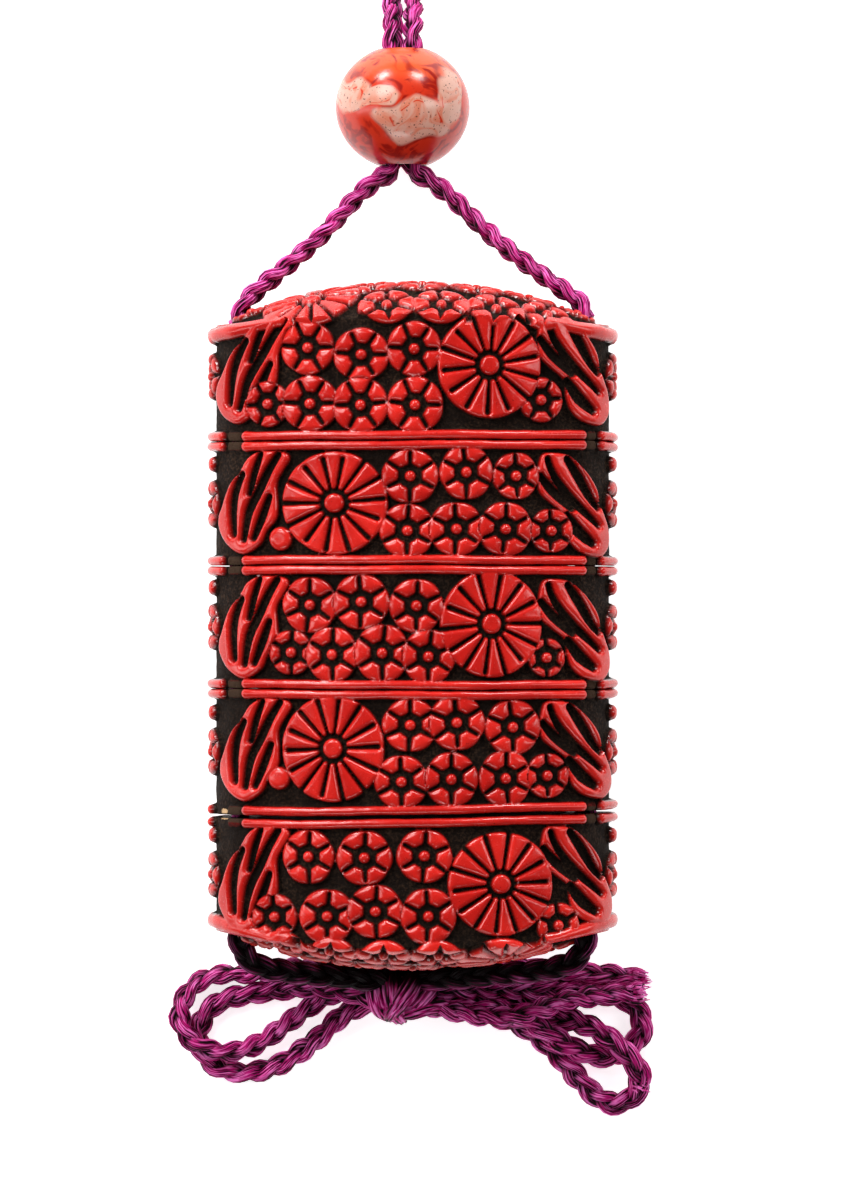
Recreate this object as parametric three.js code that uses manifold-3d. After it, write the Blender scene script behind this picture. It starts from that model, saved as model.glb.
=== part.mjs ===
import * as THREE from "three";
import { mergeVertices } from "three/addons/utils/BufferGeometryUtils.js";
import Module from "manifold-3d";

// An inro: a lid and four stacked cases strung on one silk cord with a bead, lying on its back.
// Millimetres, +Z up. The carved front faces +Z and the lid points towards +Y.

// The cases share one section, a flattened oval made of four arcs.
const halfWidth = 24.9;
const halfDepth = 12.4;
const endRadius = 9;
const axisHeight = 13.2;

// Hollow insides and the rims that the cases plug together with.
const cavity = { width: 18.4, depth: 10.5, end: 9.4 };
const rimWall = { side: 1.3, face: 0.8, end: 0.6 };
const rimHeight = 3;
const fitGap = 0.3;
const floorThickness = 1.3;
const lidCeiling = 35;
const baseFloor = -36.8;

// Joints between the cases, from the lid down.
const joints = [23.25, 7.6, -8.0, -23.8];

// The domed ends are cut from two ellipsoids.
const topDome = { crown: 42.65, x: 40, y: 26, z: 23 };
const bottomDome = { crown: -42.65, x: 40, y: 23.2, z: 27 };

// Relief: everything stands about a millimetre proud of the ground.
const reliefHeight = 1.1;
const rootDepth = 0.5;
const ridgeWidth = 1.1;
const broadStep = 11;
const endStep = 5;
const ridgeFront = 22;
const ridgeSide = 24.2;
const brokenSide = 30;
const plumRadius = 3;
const plumPetals = 6;
const chrysanthemumPetals = 14;
const chrysanthemumRadius = 6.5;
const endFlowerRadius = 2.6;
const leaf = { run: 17.3, pitch: 2.9, width: 2.7, tall: 0.86, shorten: 0.12, drop: 0.4, lean: 0.3 };

// Cord, its two bores and the bead.
const cordRadius = 1.1;
const cordSides = 8;
const cordStep = 5.9;
const boreRadius = 1.45;
const boreX = 21.9;
const boreSides = 12;
const bead = { x: -1.3, y: 66.1, radius: 8.55, half: 7.95, hole: 2.75, turns: 16, steps: 8 };
const knot = { x: -1.55, y: -47.05, z: 3.7, width: 3.7, length: 3.4, height: 3.65 };

// Flowers of each case, from the lid down: rows of plum blossoms and one chrysanthemum.
const cases = [
  { name: "lid", rows: [[34.3, [-13.3, -6.5, 0.2]], [27.7, [-13, -6.6, 0.3]]],
    chrysanthemum: [9.75, 32.6] },
  { name: "upper_case", rows: [[18.9, [-0.3, 6.8, 13.1]], [12, [-0.65, 5.55, 11.8]]],
    chrysanthemum: [-9.9, 15.35] },
  { name: "middle_case", rows: [[2.7, [-13, -6.5, 0.5]], [-3.5, [-10.2, -3.85, 2]]],
    chrysanthemum: [10, 0] },
  { name: "lower_case", rows: [[-12.4, [-0.3, 5.6, 12.7]], [-19.2, [-1.4, 4.9, 11.8]]],
    chrysanthemum: [-10.1, -15.5] },
  { name: "base_case", rows: [[-28.9, [-13.2, -6.1, 1.5]], [-36, [-10.8, -4.7, 2]]],
    chrysanthemum: [11.2, -32.3] },
];

// Cord routes, laid out along the floor in long low humps over each other.
const routes = {
  cord_left_rise: [
    [-21.9, 38.9, 13.2], [-21.8, 39.9, 13.2], [-21.3, 40.9, 13.1], [-20.4, 41.9, 12.8],
    [-16.5, 45.3, 11.9], [-11.5, 49.8, 10.4], [-6.8, 54.9, 9.3], [-4.4, 57, 8.8],
  ],
  cord_right_rise: [
    [21.9, 38.9, 13.2], [21.8, 39.9, 13.2], [21.2, 40.9, 13.1], [20.2, 41.8, 12.8],
    [15.4, 45.3, 11.9], [9.8, 49.8, 10.4], [4.6, 54.9, 9.3], [2, 57, 8.8],
  ],
  cord_netsuke_loop: [
    [-2.55, 58.6, 8.55], [-2.55, 66, 8.55], [-2.55, 73, 8.5], [-2.55, 76, 7.6], [-2.6, 78.8, 5.2],
    [-2.8, 81.4, 2.8], [-3.7, 84, 1.4], [-5, 86.4, 1.1], [-5.7, 89, 1.1], [-4.6, 91.8, 1.1],
    [-1.3, 93.2, 1.1], [2, 91.8, 1.1], [3.1, 89, 1.1], [2.4, 86.4, 1.1], [1.1, 84, 1.4],
    [0.2, 81.4, 2.8], [0, 78.8, 5.2], [-0.05, 76, 7.6], [-0.05, 73, 8.5], [-0.05, 66, 8.55],
    [-0.05, 58.6, 8.55],
  ],
  cord_left_lead: [
    [-21.9, -39.2, 13.2], [-21.8, -40.6, 13.1], [-21.1, -42.1, 12.9], [-19.4, -43.3, 12.4],
    [-16.3, -44, 11.5], [-12, -44.5, 10.2], [-7.5, -45, 8.9], [-5, -45.4, 8.2],
  ],
  cord_right_lead: [
    [21.9, -39.2, 13.2], [21.8, -40.6, 13.1], [21, -42.1, 12.9], [19.2, -43.3, 12.4],
    [15.5, -44, 11.5], [10, -44.5, 10.2], [4.8, -45, 8.9], [2, -45.4, 8.2],
  ],
  cord_left_upper_loop: [
    [-6, -44.9, 5.2], [-9.8, -44.2, 4.3], [-14, -44.1, 2.6], [-18.3, -44.5, 1.4], [-21.4, -44.9, 1.15],
    [-24.6, -45, 1.15], [-27.4, -45.9, 1.4], [-29.3, -47.8, 2.2], [-30, -50.2, 3.1],
    [-29.1, -52.6, 3.8], [-27, -54.2, 3.8], [-24.2, -54.8, 3.2], [-21.4, -54.4, 2.2],
    [-19.1, -53.4, 1.5], [-16.6, -51.7, 1.15], [-14.5, -50, 1.15], [-12.3, -48.5, 1.15],
    [-9.8, -47.2, 1.2], [-6, -46.4, 2.3],
  ],
  cord_left_lower_loop: [
    [-6, -47.5, 5], [-9.8, -46.7, 4.1], [-14, -46.5, 2.4], [-18, -47, 1.25], [-21, -47.5, 1.15],
    [-23.7, -48.1, 1.15], [-25.8, -49.2, 1.15], [-27.1, -50.9, 1.15], [-27.6, -52.9, 1.15],
    [-27.1, -55, 1.15], [-25.4, -56.8, 1.15], [-22.4, -57.6, 1.15], [-19.1, -57.2, 1.15],
    [-16.2, -56, 1.15], [-13.6, -54.3, 1.15], [-11.5, -52.6, 1.15], [-9.8, -50.9, 1.15],
    [-8.1, -49.6, 1.2], [-6, -48.8, 1.6],
  ],
  cord_right_upper_end: [
    [3, -44.3, 6.1], [6, -44, 5.4], [10.3, -44, 3.8], [15.3, -44.3, 1.9], [19.6, -44.6, 1.2],
    [23.8, -45, 1.15], [27, -45.3, 1.15], [29.6, -45.7, 1.3],
  ],
  cord_right_lower_end: [
    [3, -48.9, 5.5], [6, -49.6, 5.5], [9.5, -50.1, 5.7], [13, -50.1, 5.9], [16, -49.3, 5.4],
    [19, -48.3, 4.2], [22, -47.8, 3.5], [25.5, -47.4, 3.5], [29.2, -47.3, 3.2],
  ],
  cord_right_rear_loop: [
    [3, -46.5, 5.1], [6, -46.5, 4.8], [9.5, -46.5, 3.8], [13.5, -46.7, 2.6], [17, -47, 1.5],
    [20.5, -47.2, 1.15], [23.5, -47.4, 1.15], [26.2, -47.8, 1.15], [28.4, -49, 1.15],
    [29.5, -51, 1.15], [29.1, -53.2, 1.15], [27.3, -54.9, 1.15], [24.9, -55.5, 1.15],
    [22.7, -55.2, 1.5], [20.4, -54.2, 2.5], [18.3, -52.9, 3.2], [16.2, -51.6, 3.4],
    [13.5, -50.1, 3.4], [10, -49, 3.3], [6, -48.2, 3.3], [3, -47.7, 3.3],
  ],
  cord_right_front_loop: [
    [3, -46.3, 1.5], [6, -46.6, 1.3], [10, -47.4, 1.15], [13.5, -48.6, 1.15], [16.2, -49.9, 1.15],
    [18.5, -50.6, 1.15], [21, -51, 1.6], [23.3, -51.8, 3], [25.3, -53.1, 3.9], [27.2, -54.9, 3.9],
    [28.7, -56.8, 2.8], [29.2, -58.9, 1.5], [28.2, -60.9, 1.15], [25.9, -61.7, 1.15],
    [23.7, -60.8, 1.15], [22, -59.1, 1.15], [20.3, -57.2, 1.15], [18.5, -55.2, 1.15],
    [16.8, -53.6, 1.15], [15, -52.3, 1.15], [12.5, -51.1, 1.15], [9.5, -50.1, 1.15],
    [6, -49.4, 1.2], [3, -48.9, 1.3],
  ],
};

const lacquer = new THREE.MeshStandardMaterial({ color: 0xb81f1c, roughness: 0.3, metalness: 0 });
const beadGlaze = new THREE.MeshStandardMaterial({ color: 0xd6482a, roughness: 0.15, metalness: 0 });
const silk = new THREE.MeshStandardMaterial({ color: 0x8e1f6a, roughness: 0.6, metalness: 0 });

const wasm = await Module();
wasm.setup();

const quarterTurn = Math.PI / 2;

// A closed geometry as a solid that can be joined and cut.
function toSolid(geometry) {
  geometry.deleteAttribute("normal");
  geometry.deleteAttribute("uv");
  const merged = mergeVertices(geometry);
  const vertProperties = new Float32Array(merged.attributes.position.array);
  const triVerts = new Uint32Array(merged.index.array);
  return new wasm.Manifold(new wasm.Mesh({ numProp: 3, vertProperties, triVerts }));
}

function toMesh(solid, name, material) {
  const { vertProperties, triVerts } = solid.getMesh();
  const geometry = new THREE.BufferGeometry();
  geometry.setAttribute("position", new THREE.BufferAttribute(new Float32Array(vertProperties), 3));
  geometry.setIndex(new THREE.BufferAttribute(new Uint32Array(triVerts), 1));
  const mesh = new THREE.Mesh(geometry, material);
  mesh.name = name;
  return mesh;
}

// The four arcs of an oval: the broad faces have radius `broad`, and turn into the ends at `turn`.
function ovalArcs(width, depth, end) {
  const broad = ((width - end) ** 2 + depth ** 2 - end ** 2) / (2 * (depth - end));
  return { width, depth, end, broad, turn: Math.atan2(width - end, broad - depth) };
}

function arcPoints(x, y, radius, from, to, steps) {
  const points = [];
  for (let i = 0; i < steps; i += 1) {
    const angle = from + ((to - from) * i) / steps;
    points.push(new THREE.Vector2(x + radius * Math.cos(angle), y + radius * Math.sin(angle)));
  }
  return points;
}

function ovalShape(width, depth, end, broadSteps = 5, endSteps = 4) {
  const { broad, turn } = ovalArcs(width, depth, end);
  const side = quarterTurn - turn;
  return new THREE.Shape([
    ...arcPoints(width - end, 0, end, -side, side, endSteps),
    ...arcPoints(0, depth - broad, broad, side, Math.PI - side, broadSteps),
    ...arcPoints(end - width, 0, end, Math.PI - side, Math.PI + side, endSteps),
    ...arcPoints(0, broad - depth, broad, Math.PI + side, 2 * Math.PI - side, broadSteps),
  ]);
}

function circleShape(radius, sides) {
  return new THREE.Shape(arcPoints(0, 0, radius, 0, 2 * Math.PI, sides));
}

// An upright slice of the object: a shape drawn across it, extruded along Y.
function slab(shape, fromY, toY, x = 0, z = 0) {
  const geometry = new THREE.ExtrudeGeometry(shape, { depth: toY - fromY, bevelEnabled: false });
  geometry.rotateX(-quarterTurn);
  geometry.translate(x, fromY, axisHeight + z);
  return toSolid(geometry);
}

function ellipsoid(dome, grow = 0) {
  const geometry = new THREE.SphereGeometry(1, 24, 18);
  geometry.scale(dome.x + grow, dome.y + grow, dome.z + grow);
  geometry.translate(0, dome.crown - Math.sign(dome.crown) * dome.y, axisHeight);
  return toSolid(geometry);
}

// Relief is drawn flat, in (distance round the case, y, height), and bent round the oval.
const section = ovalArcs(halfWidth, halfDepth, endRadius);
const broadRun = section.broad * section.turn;
const quarterRun = broadRun + endRadius * (quarterTurn - section.turn);

function bend(run, height) {
  const distance = Math.abs(run);
  const behind = distance > quarterRun;
  const near = behind ? 2 * quarterRun - distance : distance;
  const onBroad = Math.abs(near) < broadRun;
  const angle = onBroad ? near / section.broad : section.turn + (near - broadRun) / endRadius;
  const radius = (onBroad ? section.broad : endRadius) + height;
  const x = radius * Math.sin(angle) + (onBroad ? 0 : halfWidth - endRadius);
  const z = radius * Math.cos(angle) - (onBroad ? section.broad - halfDepth : 0);
  return [run < 0 ? -x : x, axisHeight + (behind ? -z : z)];
}

// The distance round the case of a point that is seen at x from the front.
function runAt(x) {
  const reach = Math.abs(x);
  const broad = section.broad + reliefHeight;
  if (reach < broad * Math.sin(section.turn)) return section.broad * Math.asin(x / broad);
  const beyond = Math.asin((reach - halfWidth + endRadius) / (endRadius + reliefHeight));
  return Math.sign(x) * (broadRun + endRadius * (beyond - section.turn));
}

function bendGeometry(geometry) {
  const position = geometry.attributes.position;
  for (let i = 0; i < position.count; i += 1) {
    const [x, z] = bend(position.getX(i), position.getZ(i));
    position.setXYZ(i, x, position.getY(i), z);
  }
  return toSolid(geometry);
}

function reliefPiece(shape, run, y, height, tilt = 0) {
  const geometry = new THREE.ExtrudeGeometry(shape, { depth: height + rootDepth, bevelEnabled: false });
  geometry.rotateZ(tilt);
  geometry.translate(run, y, -rootDepth);
  return bendGeometry(geometry);
}

function plum(run, y, radius = plumRadius) {
  return reliefPiece(circleShape(radius, plumPetals), run, y, reliefHeight);
}

function chrysanthemum(run, y, radius = chrysanthemumRadius) {
  const ring = circleShape(radius, chrysanthemumPetals);
  ring.holes.push(new THREE.Path(arcPoints(0, 0, radius * 0.27, 0, 2 * Math.PI, 7)));
  const boss = reliefPiece(circleShape(radius * 0.19, 6), run, y, reliefHeight);
  return reliefPiece(ring, run, y, reliefHeight).add(boss);
}

// A long leaf: a pointed oval of two arcs.
function leafShape(length, width) {
  const points = [];
  const steps = 3;
  for (const side of [1, -1]) {
    for (let i = 0; i < steps; i += 1) {
      const t = i / steps;
      const half = width * Math.sin(Math.PI * t) * 0.5;
      points.push(new THREE.Vector2(side * half, side * length * (t - 0.5)));
    }
  }
  return new THREE.Shape(points);
}

// Three leaves lean outwards beside the flowers.
function leaves(middleY, tierHeight, side) {
  return [0, 1, 2].map((i) => {
    const length = tierHeight * (leaf.tall - leaf.shorten * i);
    const run = side * (leaf.run + leaf.pitch * i);
    const shape = leafShape(length, leaf.width);
    return reliefPiece(shape, run, middleY - leaf.drop * i, reliefHeight, -side * leaf.lean);
  });
}

// A rounded bead along a joint, bent round part of the section.
function ridge(edge, direction, fromRun, toRun, step = broadStep) {
  const profile = new THREE.Shape([
    new THREE.Vector2(edge, -rootDepth),
    new THREE.Vector2(edge + direction * ridgeWidth, -rootDepth),
    new THREE.Vector2(edge + direction * ridgeWidth * 0.75, reliefHeight),
    new THREE.Vector2(edge + direction * ridgeWidth * 0.25, reliefHeight),
  ]);
  const steps = Math.ceil((toRun - fromRun) / step);
  const geometry = new THREE.ExtrudeGeometry(profile, { depth: toRun - fromRun, steps, bevelEnabled: false });
  const position = geometry.attributes.position;
  for (let i = 0; i < position.count; i += 1) {
    position.setXYZ(i, fromRun + position.getZ(i), position.getX(i), position.getY(i));
  }
  return bendGeometry(geometry);
}

// The ridge of one joint: front, back and the two ends, with bare ground between them.
// On the joint above the base the front left corner has broken away.
function ridgeRing(edge, direction, broken) {
  const around = 2 * quarterRun;
  const leftSide = broken ? brokenSide : ridgeSide;
  return [
    ridge(edge, direction, -ridgeFront, ridgeFront),
    ridge(edge, direction, around - ridgeFront, around),
    ridge(edge, direction, -around, ridgeFront - around),
    ridge(edge, direction, ridgeSide, around - ridgeSide, endStep),
    ridge(edge, direction, ridgeSide - around, -leftSide, endStep),
  ];
}

function bore(side) {
  return slab(circleShape(boreRadius, boreSides), -60, 60, side * boreX);
}

const boreSolids = [bore(-1), bore(1)];
const belowFloor = toSolid(new THREE.BoxGeometry(200, 200, 20).translate(0, 0, -10));

// The outline of the hollow inside, grown by the given amounts.
function cavityShape(side, face, end) {
  return ovalShape(cavity.width + side, cavity.depth + face, cavity.end + end, 4, 4);
}

// The plain walls: a case has a rim that plugs into the one above and a socket for the one below.
function walls(index, bottom, top) {
  const isLid = index === 0;
  const isBase = index === cases.length - 1;
  const outer = ovalShape(halfWidth, halfDepth, endRadius);
  const inner = cavityShape(0, 0, 0);
  const rim = cavityShape(rimWall.side, rimWall.face, rimWall.end);
  const socket = cavityShape(rimWall.side + fitGap, rimWall.face + fitGap, rimWall.end + fitGap);
  let body = slab(outer, bottom, top);
  if (isLid) body = body.intersect(ellipsoid(topDome));
  if (isBase) body = body.intersect(ellipsoid(bottomDome));
  if (!isLid) body = body.add(slab(rim, top - 1, top + rimHeight));
  const socketTop = bottom + rimHeight + fitGap;
  if (!isBase) body = body.subtract(slab(socket, bottom - 1, socketTop));
  if (isLid) return body.subtract(slab(inner, bottom, lidCeiling));
  return body.subtract(slab(inner, isBase ? baseFloor : socketTop + floorThickness, top + rimHeight + 1));
}

// Flowers of the domed ends, drawn in the x-z plane and cut level with a slightly larger dome.
function domeRelief(dome) {
  const sign = Math.sign(dome.crown);
  const [fromY, toY] = [dome.crown - sign * 8, dome.crown + sign * 3].sort((a, b) => a - b);
  const big = slab(circleShape(5.8, chrysanthemumPetals), fromY, toY, -sign * 12.5, 1.5);
  const flowers = [big];
  for (let i = 0; i < 4; i += 1) {
    flowers.push(slab(circleShape(plumRadius, plumPetals), fromY, toY, sign * (6.6 * i - 2.5), i % 2 ? 4 : 1));
  }
  return wasm.Manifold.union(flowers).intersect(ellipsoid(dome, reliefHeight));
}

function carving(index, bottom, top) {
  const tier = cases[index];
  const isLid = index === 0;
  const isBase = index === cases.length - 1;
  const middle = tier.chrysanthemum[1];
  const height = Math.min(top, 38) - Math.max(bottom, -38.5);
  const around = 2 * quarterRun;
  const [flowerX, flowerY] = tier.chrysanthemum;
  const pieces = [chrysanthemum(runAt(flowerX), flowerY)];
  for (const [y, xs] of tier.rows) {
    for (const x of xs) pieces.push(plum(runAt(x), y));
  }
  // the back is plainer: the large flower alone, in the middle of each case
  pieces.push(chrysanthemum(around, middle));
  for (const side of [-1, 1]) {
    pieces.push(plum(side * quarterRun, middle, endFlowerRadius));
    pieces.push(...leaves(middle, height, side));
  }
  if (!isLid) pieces.push(...ridgeRing(top, -1, isBase));
  if (!isBase) pieces.push(...ridgeRing(bottom, 1, index === cases.length - 2));
  if (isLid) pieces.push(domeRelief(topDome));
  if (isBase) pieces.push(domeRelief(bottomDome));
  return wasm.Manifold.union(pieces);
}

// Relief that overhangs a joint or a domed end is cut off level with its own case.
function reliefLimit(index, bottom, top) {
  const reach = 2;
  const outline = ovalShape(halfWidth + reach, halfDepth + reach, endRadius + reach);
  const block = slab(outline, bottom, top);
  if (index === 0) return block.intersect(ellipsoid(topDome, reliefHeight));
  if (index === cases.length - 1) return block.intersect(ellipsoid(bottomDome, reliefHeight));
  return block;
}

function makeCase(index) {
  const top = index === 0 ? topDome.crown + 2 : joints[index - 1] - fitGap / 2;
  const bottom = index === cases.length - 1 ? bottomDome.crown - 2 : joints[index] + fitGap / 2;
  const relief = carving(index, bottom, top).intersect(reliefLimit(index, bottom, top));
  const shell = walls(index, bottom, top);
  const coreBottom = index === cases.length - 1 ? baseFloor : bottom - 1;
  const coreTop = index === 0 ? lidCeiling : top + 1;
  const core = slab(cavityShape(2, 1.2, 1), coreBottom, coreTop);
  const whole = shell.add(relief.subtract(core)).subtract(belowFloor);
  const bored = whole.subtract(boreSolids[0]).subtract(boreSolids[1]);
  return toMesh(bored, cases[index].name, lacquer);
}

function makeBead() {
  const points = [];
  const start = Math.acos(bead.hole / bead.radius);
  for (let i = 0; i <= bead.steps; i += 1) {
    const angle = -start + (2 * start * i) / bead.steps;
    points.push(new THREE.Vector2(bead.radius * Math.cos(angle), bead.half * Math.sin(angle)));
  }
  points.push(points[0].clone());
  const geometry = new THREE.LatheGeometry(points, bead.turns);
  geometry.translate(bead.x, bead.y, bead.radius);
  return toMesh(toSolid(geometry), "ojime_bead", beadGlaze);
}

// A limp cord as a plain tube along its route.
function makeCord(name, points) {
  const path = new THREE.CatmullRomCurve3(points.map((point) => new THREE.Vector3(...point)));
  const steps = Math.max(1, Math.round(path.getLength() / cordStep));
  const shape = circleShape(cordRadius, cordSides);
  const geometry = new THREE.ExtrudeGeometry(shape, { steps, extrudePath: path, bevelEnabled: false });
  return toMesh(toSolid(geometry), name, silk);
}

function makeChannelCord(name, side) {
  return toMesh(slab(circleShape(cordRadius, cordSides), -38.9, 38.6, side * boreX), name, silk);
}

function makeKnot() {
  const geometry = new THREE.SphereGeometry(1, 12, 8);
  geometry.scale(knot.width, knot.length, knot.height);
  geometry.translate(knot.x, knot.y, knot.z);
  return toMesh(toSolid(geometry), "bow_knot", silk);
}

const inro = new THREE.Group();
cases.forEach((tier, index) => inro.add(makeCase(index)));
inro.add(makeBead(), makeKnot());
inro.add(makeChannelCord("cord_left_channel", -1), makeChannelCord("cord_right_channel", 1));
for (const [name, points] of Object.entries(routes)) inro.add(makeCord(name, points));

export default inro;
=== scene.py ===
import random
from math import atan2, cos, pi, radians, sin, sqrt

import bmesh
import bpy
import numpy as np
from mathutils import Matrix, Vector


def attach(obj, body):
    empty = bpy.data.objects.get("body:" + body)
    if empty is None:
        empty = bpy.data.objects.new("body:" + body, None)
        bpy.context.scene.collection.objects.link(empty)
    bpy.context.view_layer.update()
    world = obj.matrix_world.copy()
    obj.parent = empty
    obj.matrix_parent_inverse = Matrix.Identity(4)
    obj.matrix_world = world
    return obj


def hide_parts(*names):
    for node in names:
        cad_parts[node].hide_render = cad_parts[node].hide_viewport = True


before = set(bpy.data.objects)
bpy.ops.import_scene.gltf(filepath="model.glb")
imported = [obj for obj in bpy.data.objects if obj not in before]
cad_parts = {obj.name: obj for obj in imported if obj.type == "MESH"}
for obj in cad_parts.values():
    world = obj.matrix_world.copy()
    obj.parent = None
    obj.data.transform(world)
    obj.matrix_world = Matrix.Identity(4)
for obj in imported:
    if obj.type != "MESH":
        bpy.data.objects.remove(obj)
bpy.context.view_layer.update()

# An inro lying on its back: a lid and four stacked cases of carved red lacquer, strung on a silk cord.
# Everything is modelled in millimetres in the frame's own axes, and scaled to metres as it is finished.
mm = 0.001

# camera, floor and light

studio = {
    "centre": (1.5, 3.1),  # point of the object that the lens looks straight down on
    "frontHeight": 25.6,  # height of the carved front above the floor
    "distance": 800,
    "viewHeight": 150.2,  # what the picture takes in at the carved front, top to bottom
    "sensor": 36,
    "clip": (0.01, 20),  # metres
    "floorSize": 6000,
    "floorColour": (0.55, 0.548, 0.545, 1),
    "floorTint": (0.93, 0.925, 0.92, 1),
    "floorGlow": 0.78,
    "worldColour": (1, 1, 1, 1),
    "worldStrength": 0.05,
    "lampTarget": (0, 0, 10),
    "lamps": [  # name, place, size across and along, watts
        ("topLeftLamp", (-290, 600, 240), (170, 120), 2.6),
        ("topRightLamp", (230, 600, 280), (170, 120), 2.2),
        ("keyLamp", (-340, 380, 540), (360, 300), 3.2),
        ("rightLamp", (500, 100, 300), (110, 480), 1.0),
        ("leftLamp", (-520, 0, 260), (100, 480), 0.75),
        ("footLamp", (-60, -560, 360), (420, 110), 1.0),
    ],
}


def makeCamera():
    lens = bpy.data.cameras.new("camera")
    lens.sensor_width = studio["sensor"]
    lens.lens = studio["sensor"] * studio["distance"] / studio["viewHeight"]
    lens.clip_start, lens.clip_end = studio["clip"]
    camera = bpy.data.objects.new("camera", lens)
    x, y = studio["centre"]
    camera.location = Vector((x, y, studio["frontHeight"] + studio["distance"])) * mm
    bpy.context.scene.collection.objects.link(camera)
    bpy.context.scene.camera = camera


def makeLamps():
    target = Vector(studio["lampTarget"])
    for name, place, size, watts in studio["lamps"]:
        lamp = bpy.data.lights.new(name, "AREA")
        lamp.shape = "RECTANGLE"
        lamp.size, lamp.size_y = size[0] * mm, size[1] * mm
        lamp.energy = watts
        holder = bpy.data.objects.new(name, lamp)
        holder.location = Vector(place) * mm
        holder.rotation_euler = (target - Vector(place)).to_track_quat("-Z", "Y").to_euler()
        bpy.context.scene.collection.objects.link(holder)
    world = bpy.data.worlds.new("studio")
    world.use_nodes = True
    background = world.node_tree.nodes["Background"]
    background.inputs["Color"].default_value = studio["worldColour"]
    background.inputs["Strength"].default_value = studio["worldStrength"]
    bpy.context.scene.world = world
    bpy.context.scene.view_settings.view_transform = "Standard"


# routes of the cord, in millimetres, laid along the floor in long low humps over each other

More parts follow.
